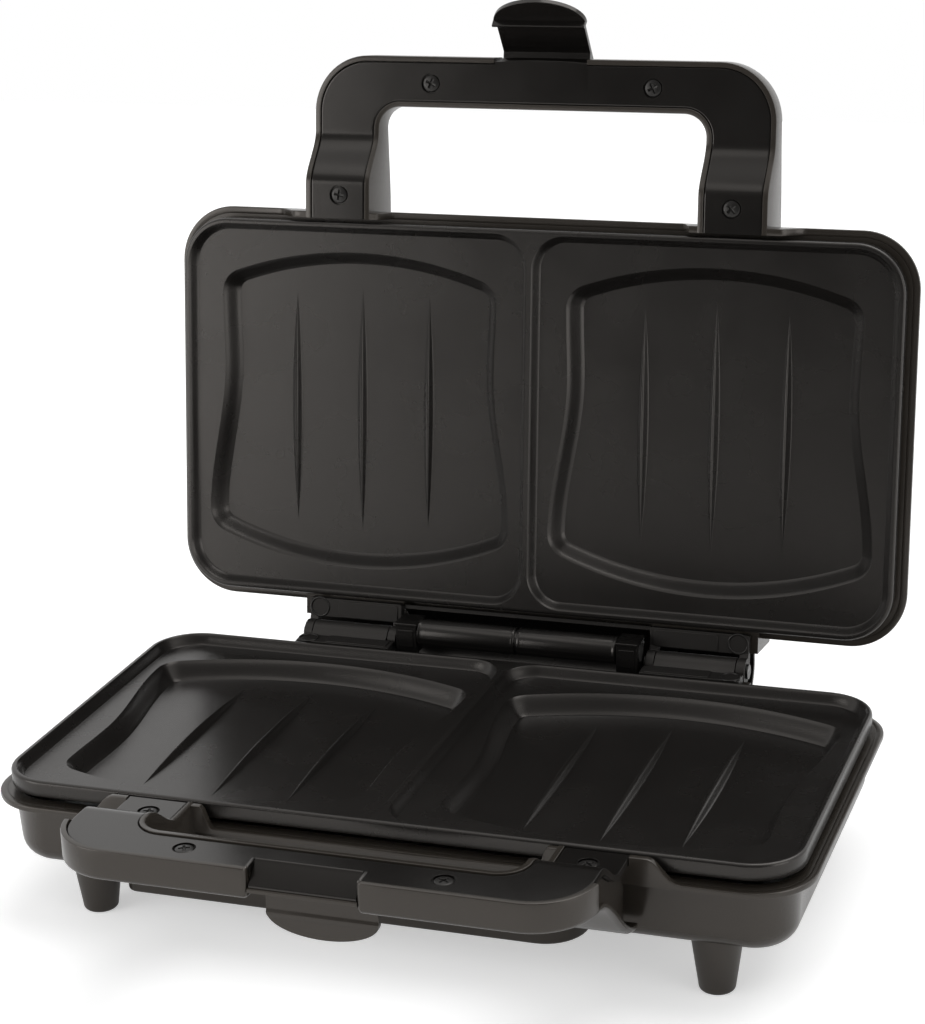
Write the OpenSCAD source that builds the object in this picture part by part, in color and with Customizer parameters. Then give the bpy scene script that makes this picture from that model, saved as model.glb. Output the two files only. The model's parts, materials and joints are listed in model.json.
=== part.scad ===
// Sandwich toaster for two sandwiches, standing open.
// Base parts are drawn with the parting plane of the two plates at z = 0 and the
// plates' centre at x = y = 0. The lid is drawn closed on that plane and then swung
// open, and the whole is set down with its feet on z = 0.

/* [Housings] */
// Width of the rim of each half
rim_w = 290; // [276:0.5:306]
// Depth of the rim of each half, front to back
rim_d = 154.3; // [150:0.1:162]
// Corner radius of the rim, seen from above
rim_r = 21.4; // [18:0.1:24]
// Thickness of the rim
rim_t = 2; // [1.6:0.1:2.6]
// How far the rim stands out from the wall under it
rim_out = 5; // [4:0.1:6]
// Height of the plate's crest over the rim
rim_drop = 8.2; // [7.2:0.1:9]
// Height of each housing from its outside bottom to the plate's crest
housing_h = 33.5; // [31.5:0.1:38]
// Wall thickness of the housings
wall_t = 2.5; // [2:0.1:3]
// Draft of the housing walls in degrees
draft = 4.5; // [2:0.1:6]
// Radius of the housing's long bottom edge
edge_r = 8; // [5:0.5:9]
// Gap between the two halves when the lid is shut
shut_gap = 0.4; // [0.3:0.1:0.8]

/* [Feet and bottom cover] */
// Height of the feet under the housing
foot_h = 20.6; // [16:0.1:24]
// Radius of a foot at its top
foot_top_r = 8.9; // [7.5:0.1:10]
// Radius of a foot at its bottom
foot_tip_r = 6.2; // [5:0.1:7]
// Radius of the rounded edge under a foot
foot_edge_r = 1.6; // [0.8:0.1:2.4]
// Radius of the spigot that holds a foot in the housing
spigot_r = 4; // [3:0.1:5]
// Distance of a foot from the rim's side
foot_inset_x = 33.3; // [30:0.1:38]
// Distance of a front foot from the rim's front edge
foot_inset_y = 20.5; // [19:0.1:24]
// Distance of a rear foot from the rim's rear edge
foot_rear_inset = 15; // [13:0.1:18]
// Width of the cover under the base
cover_w = 168; // [160:1:170]
// How far that cover lies to the left of the middle
cover_left = 16; // [14:1:18]
// Depth of the cover under the base
cover_d = 116; // [100:1:120]
// Height of the cover under the base
cover_h = 13; // [12:0.1:15]
// Corner radius of that cover at its right side
cover_r = 15; // [10:0.5:18]
// Corner radius of that cover at its left side
cover_left_r = 4; // [3:0.5:8]
// Wall thickness of the cover under the base
cover_t = 2; // [1.6:0.1:2.6]
// Distance between the cover's screws along the width
cover_screw_dx = 120; // [110:1:126]
// Distance between the cover's screws along the depth
cover_screw_dy = 80; // [70:1:86]

/* [Plates] */
// Distance from the rim's edge to the plate's edge
plate_in = 3.95; // [3:0.05:4.6]
// Height of the plate's outside edge
plate_edge_h = 6; // [5.4:0.1:6.6]
// Width of the flat crest round the plate
crest_w = 1.8; // [1.2:0.1:2.4]
// Half width of the crest between the two cells
divider_w = 0.9; // [0.6:0.1:1.6]
// Width of the slope from the crest to the land
band_w = 2.6; // [2:0.1:3.2]
// Depth of the land under the crest
land_drop = 4; // [3.4:0.1:4.4]
// Corner radius of a cell beside the divider
cell_r = 13; // [9:0.5:16]
// Thickness of the cast plate
plate_t = 2; // [1.6:0.1:2.4]
// Depth of a pocket under the land
pocket_drop = 6.4; // [5:0.1:7]
// Width of a pocket's sloped wall
pocket_slope = 5; // [3.5:0.1:6]
// Distance from a cell's side to the pocket's narrow front end
front_end_in = 12.875; // [11.2:0.005:15.2]
// Distance from a cell's side to the pocket's waist
waist_in = 13.675; // [12.2:0.005:16.2]
// Distance from a cell's side to the pocket's wide rear end
rear_end_in = 6.875; // [6.2:0.005:10.2]
// Distance from a cell's front edge to the pocket
pocket_front_in = 9.8; // [8.4:0.1:14.4]
// Distance from a cell's rear edge to the pocket
pocket_rear_in = 9.1; // [7.9:0.1:14.4]
// Radius of the curved front and rear sides of a pocket
pocket_arc_r = 150; // [120:1:200]
// Corner radius of a pocket
pocket_r = 9.5; // [8:0.1:12]
// Distance from a pocket's waist to the plate's centre line
waist_y = 16; // [10:0.5:22]
// Distance between the ridges in a pocket
ridge_step = 27.3; // [22:0.1:30]
// Length of a pocket's middle ridge
ridge_len = 95.8; // [80:0.1:100]
// How much shorter the outer ridges are
ridge_short = 4.8; // [0:0.1:12]
// Width of a ridge at its middle
ridge_w = 2.6; // [1.8:0.1:4]
// Height of a ridge at its middle
ridge_h = 1.8; // [1:0.1:2.4]

/* [Heating] */
// Radius of the heating element's tube
element_r = 3.2; // [2.6:0.1:3.6]
// Distance between the element's two runs
element_gap = 76; // [60:1:84]
// Length of the element's straight runs
element_run = 196; // [180:1:204]
// Thickness of the heat shield's sheet
shield_t = 0.8; // [0.6:0.1:1.2]
// Height of the heat shield's turned-up rim
shield_rim_h = 3; // [2:0.1:4]
// Distance of the heat shield from the housing's wall
shield_gap = 2.6; // [2:0.1:3.4]
// Radius of the posts that carry the plate on the shield
post_r = 4; // [3:0.1:4.6]
// Radius of the stud under such a post
stud_r = 1.6; // [1.2:0.1:2]
// Distance of the posts from the heat shield's edges
post_inset = 7.6; // [7.2:0.1:9]
// Radius of the posts inside the housing that carry the shield
boss_r = 4.2; // [3.6:0.1:5]
// Distance of the housing's posts from the centre line
boss_x = 88; // [84:0.5:94]
// Distance of the housing's posts from the middle, front to back
boss_y = 52; // [48:0.5:56]

/* [Handles] */
// Distance of the handles' front from the plates' centre
handle_reach = 136; // [130:0.5:142]
// Half width of a handle outside
handle_half_w = 90; // [84:0.5:96]
// Radius of a handle's outer corners
handle_r = 21.5; // [16:0.1:24]
// Depth of the handle bar, front to back
bar_d = 19; // [17.5:0.1:22]
// Width of a handle's arms
arm_w = 26; // [23:0.5:29]
// Radius of the inner corners of the hand opening
grip_r = 8.5; // [5:0.1:12]
// Thickness of the handle bars, top to bottom
bar_h = 11.2; // [10.5:0.1:13]
// Height of the step of the handles' joint over the parting plane
bar_step = 10.3; // [9.6:0.1:11]
// Start of that step behind the handle's front
step_start = 28.7; // [24:0.1:31]
// Length of that step, front to back
step_len = 19.8; // [14:0.1:22]
// Depth of the lower arms where they meet the housing
arm_root_h = 27; // [22:0.5:29]
// Height of the upper arms over the parting plane where they meet the lid
arm_top_h = 26; // [23:0.5:28]
// Wall thickness of the handle shells
shell_t = 2; // [1.6:0.1:2.2]
// Thickness of the black handle covers
lining_t = 2.4; // [2:0.1:2.8]
// How far a handle cover lies under its shell's rim
lining_sink = 0.5; // [0.2:0.1:0.9]
// Clearance round a handle cover
lining_gap = 0.25; // [0.15:0.05:0.4]
// Distance of the bar's screws from the centre line
bar_screw_x = 43.3; // [36:0.1:52]
// Distance of the bar's screws from the handle's front
bar_screw_y = 10; // [8:0.1:11]
// Distance of the arms' screws from the handle's outside
arm_screw_x = 13.5; // [12:0.1:15]
// Distance of the arms' screws from the rim's front edge
arm_screw_y = 6.5; // [5:0.1:8]
// Length of the open side at the root of each lower arm
side_gap = 38; // [30:0.5:42]

/* [Latch] */
// Half width of the latch's web
latch_half_w = 17; // [14:0.1:20]
// Clearance at each side of the latch
latch_side_gap = 1.1; // [0.6:0.1:1.6]
// Distance of the latch's pivot behind the handle's front
latch_back = 2.8; // [2.4:0.1:3.4]
// Height of the latch's pivot over the parting plane
latch_z = 19; // [18:0.1:20]
// Radius of the latch's hub
hub_r = 2.8; // [2.5:0.1:3.2]
// Radius of the latch's pin
latch_pin_r = 1.2; // [0.9:0.05:1.4]
// Thickness of the latch's web
web_t = 2; // [1.6:0.1:2.4]
// Angle that the latch is swung out from latched
latch_swing = 47.9; // [40:0.1:55]
// Height of the latch's curved thumb tab
tab_h = 9.6; // [7:0.1:12]
// How much wider the thumb tab is than the web, at each side
tab_side = 0.9; // [0:0.1:1.4]
// Depth of the latch's barb
barb_d = 2.7; // [2.2:0.1:3]
// Height of the latch's barb
barb_h = 2; // [1.5:0.1:2.4]
// Clearance between the barb and the catch over it
catch_gap = 0.5; // [0.3:0.1:0.8]
// Height of the catch under which the barb goes
catch_h = 1.5; // [1.2:0.1:2]
// Half width of the notch in the lower bar
notch_half_w = 18.3; // [17.8:0.1:22]
// Depth of the notch in the lower bar
notch_d = 7.2; // [6:0.1:8]
// Half width of the finger tab under the lower bar
tongue_half_w = 19; // [15:0.1:22]
// Height of the finger tab's web
tongue_h = 12; // [9:0.1:14]
// Height of the finger tab's curved end
tongue_tip_h = 7.3; // [5:0.1:9]

/* [Hinge] */
// Angle that the lid stands open
open_angle = 97.64; // [92:0.01:100]
// Distance of the hinge axis behind the rim's rear edge
hinge_back = 10.62; // [10.3:0.01:11.5]
// Distance of the hinge axis under the parting plane
hinge_drop = 1.7; // [1.2:0.1:2]
// Distance of a hinge bracket's inner side from the centre line
bracket_in = 50; // [48:0.5:54]
// Width of a hinge bracket
bracket_w = 41; // [38:0.5:44]
// Thickness of a hinge bracket's flange
flange_t = 3; // [2.4:0.1:3.2]
// Depth of a hinge bracket's flange, front to back
flange_d = 7.4; // [7:0.1:7.8]
// Radius of a hinge ear
ear_r = 5; // [4.4:0.1:5.2]
// Thickness of a hinge ear
ear_t = 3.4; // [2.8:0.1:4]
// Gap between two hinge ears
ear_gap = 0.2; // [0.15:0.05:0.5]
// Radius of a hinge pin
pin_r = 2; // [1.6:0.05:2.4]
// Running clearance of the pins
pin_fit = 0.05; // [0.03:0.01:0.08]
// Distance between the two screws of a hinge bracket
hinge_screw_dx = 27; // [24:0.1:29]
// Radius of the wiring tube between the brackets
tube_r = 5.4; // [4.4:0.1:5.4]
// Length of each half of the wiring tube
tube_len = 39; // [36:0.5:41]
// Width of the seam between the halves of the tube
tube_seam = 1; // [0.6:0.1:2]
// Distance of the wiring tube in front of the hinge axis
tube_front = 3.8; // [3.4:0.1:4.2]
// Height of the wiring tube over the parting plane
tube_z = 3.6; // [3.4:0.1:3.8]
// Width of the clips at the tube's ends
tube_clip_w = 9; // [7:0.1:9.4]
// Inside radius of the hinge cover round the hinge axis
trough_r = 12.2; // [12:0.1:12.4]
// Thickness of the hinge cover
trough_t = 1.8; // [1.4:0.1:1.9]

/* [Fasteners and small parts] */
// Radius of a screw's shank
screw_r = 1.5; // [1.2:0.05:1.8]
// Radius of a screw's head
head_r = 3.2; // [2.8:0.05:3.6]
// Height of a screw's head
head_h = 1.7; // [1.4:0.05:1.9]
// Length of a screw
screw_len = 9; // [8:0.1:10]
// Clearance round a screw
screw_fit = 0.1; // [0.05:0.01:0.2]
// Radius of a screw boss
screw_boss_r = 3.6; // [3.2:0.1:4]
// Radius of the lamp lenses on the lid
lamp_r = 4; // [3:0.1:5]
// Distance between the two lamps
lamp_dx = 26; // [20:0.5:34]
// Distance of the lamps from the rim's front edge
lamp_y = 32; // [28:0.5:40]
// How far a lamp lens stands out of the lid
lamp_out = 1; // [0.4:0.1:1.4]
// Radius of the cord's passage through the gland
cord_r = 3.2; // [2.8:0.1:3.5]
// Radius of the gland's neck
gland_r = 4.6; // [4.3:0.1:4.7]
// Radius of a wire
wire_r = 1.1; // [0.8:0.1:1.3]

/* [Hidden] */
$fn = 48;
arc_n = 6;
edge_n = 5;
slope_n = 5;
bronze = [0.29, 0.27, 0.25];
black = [0.06, 0.06, 0.06];
plate_black = [0.10, 0.10, 0.10];
steel = [0.62, 0.63, 0.64];
cream = [0.86, 0.84, 0.78];
lamp_red = [0.75, 0.08, 0.05];
lamp_green = [0.10, 0.60, 0.20];
eps = 0.01;
half_gap = shut_gap / 2;
rim_hx = rim_w / 2;
rim_hy = rim_d / 2;
rim_low = rim_drop + rim_t;
edge_top = housing_h - edge_r;
wall_in = rim_out + tan(draft) * (edge_top - rim_low);
plate_hx = rim_hx - plate_in;
plate_hy = rim_hy - plate_in;
plate_r = rim_r - plate_in + 1;
cell_in = divider_w;
cell_out = plate_hx - crest_w;
cell_cx = (cell_in + cell_out) / 2;
cell_hx = (cell_out - cell_in) / 2;
cell_hy = plate_hy - crest_w;
pocket_front_w = cell_hx - front_end_in;
pocket_waist_w = cell_hx - waist_in;
pocket_rear_w = cell_hx - rear_end_in;
pocket_front_y = cell_hy - pocket_front_in;
pocket_rear_y = cell_hy - pocket_rear_in;
front_cy = pocket_arc_r - pocket_front_y;
rear_cy = pocket_rear_y - pocket_arc_r;
front_corner_y = front_cy - sqrt(pow(pocket_arc_r - pocket_r, 2) - pow(pocket_front_w - pocket_r, 2));
rear_corner_y = rear_cy + sqrt(pow(pocket_arc_r - pocket_r, 2) - pow(pocket_rear_w - pocket_r, 2));
front_corner_a = acos((pocket_front_w - pocket_r) / (pocket_arc_r - pocket_r));
rear_corner_a = acos((pocket_rear_w - pocket_r) / (pocket_arc_r - pocket_r));
side_n = 8;
pocket_floor = land_drop + pocket_drop;
pan_bottom = pocket_floor + plate_t;
element_z = pan_bottom + element_r + 0.1;
shield_top = element_z + element_r + 0.1;
shield_low = shield_top + shield_t;
inner_floor = housing_h - wall_t;
wall_at_shield = rim_out + wall_t + tan(draft) * (shield_top - rim_low);
shield_hx = rim_hx - wall_at_shield - shield_gap;
shield_hy = rim_hy - wall_at_shield - shield_gap;
shield_r = 12;
ridge_n = 10;
ridge_root = 0.8;
ridge_dive = 0.3;
ridge_end = 0.3;
tab_w = 10;
tab_y = 20;
tab_out = 2;
post_x = shield_hx - post_inset;
post_y = shield_hy - post_inset;
retainer_t = 0.6;
retainer_r = stud_r + 2.2;
foot_x = rim_hx - foot_inset_x;
foot_y = rim_hy - foot_inset_y;
foot_rear_y = rim_hy - foot_rear_inset;
floor_drop = housing_h + foot_h;
head_deep = 4;
gland_x = cover_w / 2 - cover_left - 30;
gland_z = -housing_h - (cover_h - cover_t) / 2;
gland_flange_r = min(gland_r + 0.8, (cover_h - cover_t) / 2 - 0.15);
gland_flange_t = 3;
terminal_w = 24;
terminal_d = 14;
terminal_h = 8;
terminal_step = 8;
terminal_low = -housing_h - cover_h + cover_t;
terminal_top = terminal_low + terminal_h;
wire_z = -(shield_low + inner_floor) / 2;
wire_gap = 4;
wire_turn = 12;
wire_end_x = element_gap / 4 - 3 - shield_hx;
lamp_board_z = 3;
lamp_board_t = 1.5;
hinge_y = rim_hy + hinge_back;
hinge_z = -hinge_drop;
bracket_out = bracket_in + bracket_w;
ear_step = ear_t + ear_gap;
lid_ears = [bracket_in, bracket_out - ear_t];
base_ears = [bracket_in + ear_step, bracket_out - ear_t - ear_step];
flange_z = 0.5;
flange_low = flange_z + flange_t;
flange_rear = hinge_y - ear_r - 0.8;
flange_front = flange_rear - flange_d;
hinge_boss_h = 24;
hinge_screw_y = flange_rear - 3.9;
hinge_screw_x = bracket_out - 6.9;
tube_y = hinge_y - tube_front;
tube_bore_r = tube_r - 1.7;
tube_end = tube_seam / 2 + tube_len;
clip_y0 = tube_y - tube_r + 0.3;
clip_y1 = tube_y + tube_r + 0.6;
clip_z0 = tube_z - tube_r - 2;
clip_z1 = tube_z + tube_r - 0.5;
trough_out = trough_r + trough_t;
trough_end = 404;
trough_low = hinge_z - trough_out;
wall_y = rim_hy - rim_out;
trough_front = wall_y + tan(draft) * (trough_low + trough_t + rim_low) + 0.05;
bar_rear = handle_reach - bar_d;
grip_hx = handle_half_w - arm_w;
step_front = handle_reach - step_start;
step_rear = step_front - step_len;
lower_rim = bar_step - half_gap;
upper_rim = bar_step + half_gap;
bar_low = lower_rim - bar_h + 0.4;
bar_high = upper_rim + bar_h + 0.5;
root_end = rim_hy - 2.5;
lower_lining = lower_rim - lining_sink;
upper_lining = upper_rim + lining_sink;
root_lining = -half_gap - lining_sink;
post_low = lining_sink + lining_t;
step_n = 10;
catch_low = bar_low + 2.4;
catch_top = catch_low + catch_h;
catch_y = -handle_reach + 0.4;
pivot_y = -handle_reach + latch_back;
slot_w = latch_half_w + latch_side_gap;
slot_y = pivot_y + hub_r + 0.8;
web_back = catch_y - 0.7 - pivot_y;
barb_top = catch_low - catch_gap - latch_z;
lid_edge_y = -(rim_hy - wall_in - edge_r);
lid_edge_z = edge_top;
lid_reach = max([for (k = [0:edge_n]) swung_y(lid_edge_y - edge_r * cos(90 * k / edge_n),
    lid_edge_z + edge_r * sin(90 * k / edge_n))]);
mid_y = (lid_reach - handle_reach) / 2;

// Place of a point of the closed lid's side view after the lid is swung open
function swung_y(y, z) = hinge_y + (y - hinge_y) * cos(open_angle)
    + (z - hinge_z) * sin(open_angle);

function arc(cx, cy, r, a0, a1, n) = [for (i = [0:n]) let (a = a0 + (a1 - a0) * i / n)
    [cx + r * cos(a), cy + r * sin(a)]];

function smooth(t) = 3 * t * t - 2 * t * t * t;

// Rounded rectangle as a list of points, turning left
function round_box(hx, hy, r) = concat(
    arc(hx - r, hy - r, r, 0, 90, arc_n),
    arc(r - hx, hy - r, r, 90, 180, arc_n),
    arc(r - hx, r - hy, r, 180, 270, arc_n),
    arc(hx - r, r - hy, r, 270, 360, arc_n));

// Outline of the rim, drawn in by a distance
function rim_line(d) = round_box(rim_hx - d, rim_hy - d, max(rim_r - d, 2));

// Outline of a cell: small radius at the divider (low x), large radius outside
function cell_line(d) = let (hx = cell_hx - d, hy = cell_hy - d,
    r = max(plate_r - crest_w - d, 2), q = max(cell_r - d, 2)) concat(
    arc(hx - r, hy - r, r, 0, 90, arc_n),
    arc(q - hx, hy - q, q, 90, 180, arc_n),
    arc(q - hx, q - hy, q, 180, 270, arc_n),
    arc(hx - r, r - hy, r, 270, 360, arc_n));

// Half width of a pocket at a place between its corners
function pocket_w(y) = y > -waist_y
    ? pocket_waist_w + (pocket_rear_w - pocket_waist_w)
        * smooth((y + waist_y) / (rear_corner_y + waist_y))
    : pocket_waist_w + (pocket_front_w - pocket_waist_w)
        * smooth((-waist_y - y) / (-waist_y - front_corner_y));

function pocket_side(s, d, y0, y1) = [for (i = [1:side_n - 1])
    let (y = y0 + (y1 - y0) * i / side_n) [s * (pocket_w(y) - d), y]];

// Outline of a pocket, drawn in by a distance
function pocket_line(d) = let (q = pocket_r - d, big = pocket_arc_r - d,
    fx = pocket_front_w - pocket_r, bx = pocket_rear_w - pocket_r) concat(
    pocket_side(1, d, front_corner_y, rear_corner_y),
    arc(bx, rear_corner_y, q, 0, rear_corner_a, 4),
    arc(0, rear_cy, big, rear_corner_a + 4, 176 - rear_corner_a, 6),
    arc(-bx, rear_corner_y, q, 180 - rear_corner_a, 180, 4),
    pocket_side(-1, d, rear_corner_y, front_corner_y),
    arc(-fx, front_corner_y, q, 180, 180 + front_corner_a, 4),
    arc(0, front_cy, big, 184 + front_corner_a, 356 - front_corner_a, 6),
    arc(fx, front_corner_y, q, 360 - front_corner_a, 360, 4));

// Closed solid through outlines with equal numbers of points, at rising heights
module loft(lines, heights) {
    n = len(lines[0]);
    m = len(lines);
    points = [for (k = [0:m - 1]) for (p = lines[k]) [p[0], p[1], heights[k]]];
    sides = [for (k = [0:m - 2]) for (i = [0:n - 1]) let (j = (i + 1) % n)
        for (f = [[k * n + i, k * n + n + i, k * n + n + j], [k * n + i, k * n + n + j, k * n + j]]) f];
    low_face = [for (i = [0:n - 1]) i];
    top_face = [for (i = [n - 1:-1:0]) (m - 1) * n + i];
    polyhedron(points, concat([low_face], sides, [top_face]), convexity = 6);
}

// Rounded rectangle with true arcs
module round_rect(hx, hy, r) {
    square([2 * hx, 2 * (hy - r)], center = true);
    square([2 * (hx - r), 2 * hy], center = true);
    for (sx = [-1, 1]) {
        for (sy = [-1, 1]) {
            translate([sx * (hx - r), sy * (hy - r)]) circle(r);
        }
    }
}

// Box between two corners
module block(a, b) {
    translate(a) cube([b[0] - a[0], b[1] - a[1], b[2] - a[2]]);
}

// Outline in the side view (y, z), drawn from x = -hx to hx
module side_bar(x0, x1) {
    translate([x0, 0, 0]) rotate([90, 0, 90]) linear_extrude(x1 - x0) children();
}

module left_right() {
    children();
    mirror([1, 0, 0]) children();
}

module corners(x, y) {
    for (sx = [-1, 1]) {
        for (sy = [-1, 1]) {
            translate([sx * x, sy * y, 0]) children();
        }
    }
}

// Sets a part of the base down in the finished frame
module on_floor() {
    translate([0, -mid_y, floor_drop]) children();
}

// Swings a part of the closed lid open and sets it down
module swung() {
    on_floor() translate([0, hinge_y, hinge_z]) rotate([-open_angle, 0, 0])
        translate([0, -hinge_y, -hinge_z]) children();
}

// Turns a part of the base over on the parting plane, to be one of the lid
module turned() {
    swung() mirror([0, 0, 1]) children();
}

// Countersunk screw with its head's face at z = 0, pointing down
module screw(length) {
    difference() {
        union() {
            translate([0, 0, -0.5]) cylinder(r = head_r, h = 0.5);
            translate([0, 0, -head_h]) cylinder(r1 = screw_r, r2 = head_r, h = head_h - 0.5);
            translate([0, 0, -length]) cylinder(r = screw_r, h = length - head_h + eps);
        }
        for (a = [45, 135]) {
            rotate([0, 0, a]) block([-2, -0.4, -1], [2, 0.4, 1]);
        }
    }
}

// Space for that screw in a cover
module screw_sink() {
    translate([0, 0, -0.5]) cylinder(r = head_r + screw_fit, h = 3);
    translate([0, 0, -head_h - screw_fit])
        cylinder(r1 = screw_r + screw_fit, r2 = head_r + screw_fit, h = head_h - 0.5 + screw_fit + eps);
    translate([0, 0, -12]) cylinder(r = screw_r + screw_fit, h = 12);
}

// Housings

module housing_outside() {
    turn = [for (k = [0:edge_n]) 90 - 90 * k / edge_n];
    loft(concat([for (a = turn) rim_line(wall_in + edge_r * (1 - cos(a)))],
            [rim_line(rim_out), rim_line(rim_out)]),
        concat([for (a = turn) -edge_top - edge_r * sin(a)], [-rim_low, -rim_low + rim_t / 2]));
    loft([rim_line(0.4), rim_line(0), rim_line(0), rim_line(0.5)],
        [-rim_low, -rim_low + 0.4, -rim_drop - 0.5, -rim_drop]);
}

module housing_inside() {
    inner_r = edge_r - wall_t;
    turn = [for (k = [0:edge_n]) 90 - 90 * k / edge_n];
    loft(concat([for (a = turn) rim_line(wall_in + wall_t + inner_r * (1 - cos(a)))],
            [rim_line(rim_out + wall_t), rim_line(rim_out + wall_t)]),
        concat([for (a = turn) -edge_top - inner_r * sin(a)], [-rim_low, -rim_drop + 1]));
}

// Raised ears of the rim beside a handle's root
module handle_ears() {
    ear_out = handle_half_w + 4;
    ear_in = grip_hx - 4;
    low = -rim_drop - rim_t / 2;
    front = [-rim_hy, -rim_hy + 2.6];
    left_right() difference() {
        translate([0, front[1], 0]) rotate([90, 0, 0]) linear_extrude(front[1] - front[0])
            polygon([[ear_in - 5, low], [ear_in - 3.4, -rim_drop + 1.2], [ear_in - 1, -half_gap - 0.6],
                [ear_in, -half_gap], [ear_out, -half_gap], [ear_out + 1.4, -half_gap - 0.8],
                [ear_out + 6, -rim_drop + 1.6], [ear_out + 11, low]]);
        block([grip_hx + shell_t, front[0] - 1, -half_gap - lining_sink - lining_t],
            [handle_half_w - shell_t, front[1] + 1, 1]);
    }
}

// Blocks behind the rim that carry the hinge brackets
module hinge_bosses() {
    left_right() {
        block([bracket_in, rim_hy - 7.1, -hinge_boss_h], [bracket_out, flange_rear, -rim_drop - rim_t / 2]);
        block([bracket_in, flange_front, -rim_drop - rim_t / 2 - eps], [bracket_out, flange_rear, -flange_low]);
    }
}

module hinge_screw_places() {
    left_right() {
        translate([hinge_screw_x, hinge_screw_y, 0]) children();
        translate([hinge_screw_x - hinge_screw_dx, hinge_screw_y, 0]) children();
    }
}

// Housing without the openings that belong to only one half
module half_housing() {
    difference() {
        union() {
            housing_outside();
            hinge_bosses();
        }
        housing_inside();
        hinge_screw_places() translate([0, 0, -flange_z - screw_len - 1])
            cylinder(r = screw_r + screw_fit, h = screw_len + 1);
    }
    handle_ears();
    corners(boss_x, boss_y) translate([0, 0, -inner_floor - eps])
        cylinder(r = boss_r, h = inner_floor - shield_low + eps);
    left_right() for (sy = [-1, 1]) {
        block([shield_hx + 0.4, sy * tab_y - tab_w / 2, -shield_top + 0.3],
            [rim_hx - wall_at_shield + 1, sy * tab_y + tab_w / 2, -shield_top + 3]);
    }
}

module base_housing() color(bronze) on_floor() difference() {
    union() {
        half_housing();
        cover_screw_places() translate([0, 0, -inner_floor - eps]) cylinder(r = screw_boss_r, h = 6);
    }
    left_right() for (y = [-foot_y, foot_rear_y]) {
        translate([foot_x, y, -housing_h - 1]) cylinder(r = spigot_r + screw_fit, h = wall_t + 2);
    }
    cover_screw_places() translate([0, 0, -housing_h - 1]) cylinder(r = screw_r + screw_fit, h = 7);
    translate([0, 0, -housing_h - 1]) cylinder(r = 8, h = wall_t + 2);
}

module lid_housing() color(bronze) turned() difference() {
    half_housing();
    lamp_places() translate([0, 0, -housing_h - 1]) cylinder(r = lamp_r + screw_fit, h = wall_t + 2);
}

// Feet and bottom cover

module foot() {
    rotate_extrude() {
        polygon([[0, -floor_drop], [foot_tip_r - foot_edge_r, -floor_drop],
            [foot_tip_r, -floor_drop + foot_edge_r], [foot_top_r, -housing_h], [0, -housing_h]]);
        translate([foot_tip_r - foot_edge_r, -floor_drop + foot_edge_r]) circle(foot_edge_r);
        translate([0, -housing_h]) square([spigot_r, wall_t]);
    }
}

module foot_front_left() color(bronze) on_floor() translate([-foot_x, -foot_y, 0]) foot();
module foot_front_right() color(bronze) on_floor() translate([foot_x, -foot_y, 0]) foot();
module foot_rear_left() color(bronze) on_floor() translate([-foot_x, foot_rear_y, 0]) foot();
module foot_rear_right() color(bronze) on_floor() translate([foot_x, foot_rear_y, 0]) foot();

module cover_screw_places() {
    translate([-cover_left, 0, 0]) corners(cover_screw_dx / 2, cover_screw_dy / 2) children();
}

// Outline of the bottom cover, drawn in by a distance: tight corners beside the left feet
module cover_plan(d) {
    half_d = cover_d / 2 - d;
    translate([-cover_left, 0]) {
        round_rect(cover_w / 2 - d, half_d, cover_r - d);
        translate([-cover_r, 0]) round_rect(cover_w / 2 - cover_r - d, half_d, cover_left_r - d);
    }
}

module bottom_cover() color(black) on_floor() difference() {
    union() {
        difference() {
            translate([0, 0, -housing_h - cover_h]) linear_extrude(cover_h) cover_plan(0);
            translate([0, 0, -housing_h - cover_h + cover_t]) linear_extrude(cover_h) cover_plan(cover_t);
        }
        cover_screw_places() translate([0, 0, -housing_h - cover_h])
            cylinder(r = screw_boss_r + 1.2, h = cover_h);
    }
    cover_screw_places() {
        translate([0, 0, -housing_h - cover_h - 1]) cylinder(r = screw_r + screw_fit, h = cover_h + 2);
        translate([0, 0, -housing_h - cover_h - 1]) cylinder(r = head_r + screw_fit, h = cover_h - head_deep + 1);
        translate([0, 0, -housing_h - head_deep]) mirror([0, 0, 1]) screw_sink();
    }
    translate([gland_x, cover_d / 2 + 1, gland_z]) rotate([90, 0, 0])
        cylinder(r = gland_r + 0.02, h = cover_t + 2);
}

module bottom_cover_screws() color(steel) on_floor() cover_screw_places()
    translate([0, 0, -housing_h - head_deep]) mirror([0, 0, 1]) screw(screw_len);

// Rubber bush for the cord, with a flange at each side of the cover's wall
module cord_gland() color(black) on_floor() translate([gland_x, cover_d / 2, gland_z]) rotate([90, 0, 0])
    difference() {
        union() {
            translate([0, 0, -gland_flange_t]) cylinder(r = gland_flange_r, h = gland_flange_t);
            translate([0, 0, -eps]) cylinder(r = gland_r, h = cover_t + 2 * eps);
            translate([0, 0, cover_t]) cylinder(r = gland_flange_r, h = gland_flange_t);
        }
        translate([0, 0, -gland_flange_t - 1]) cylinder(r = cord_r, h = cover_t + 2 * gland_flange_t + 2);
    }

// Plates

module plate_body() {
    loft([round_box(plate_hx, plate_hy, plate_r), round_box(plate_hx, plate_hy, plate_r),
            round_box(plate_hx - 0.6, plate_hy - 0.6, plate_r - 0.6)],
        [-plate_edge_h, -half_gap - 0.7, -half_gap]);
    for (s = [-1, 1]) {
        translate([s * cell_cx, 0, 0]) loft([pocket_line(pocket_slope - plate_t),
            pocket_line(-plate_t), pocket_line(-plate_t)], [-pan_bottom, -plate_edge_h, -land_drop - 0.5]);
    }
}

// Sloped and rounded hollow: an outline that draws in as it goes down
module cell_hollow() {
    steps = [for (i = [0:slope_n]) 1 - i / slope_n];
    loft(concat([for (t = steps) cell_line(band_w * t)], [cell_line(0)]),
        concat([for (t = steps) -half_gap - (land_drop - half_gap) * smooth(t)], [1]));
}

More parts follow.
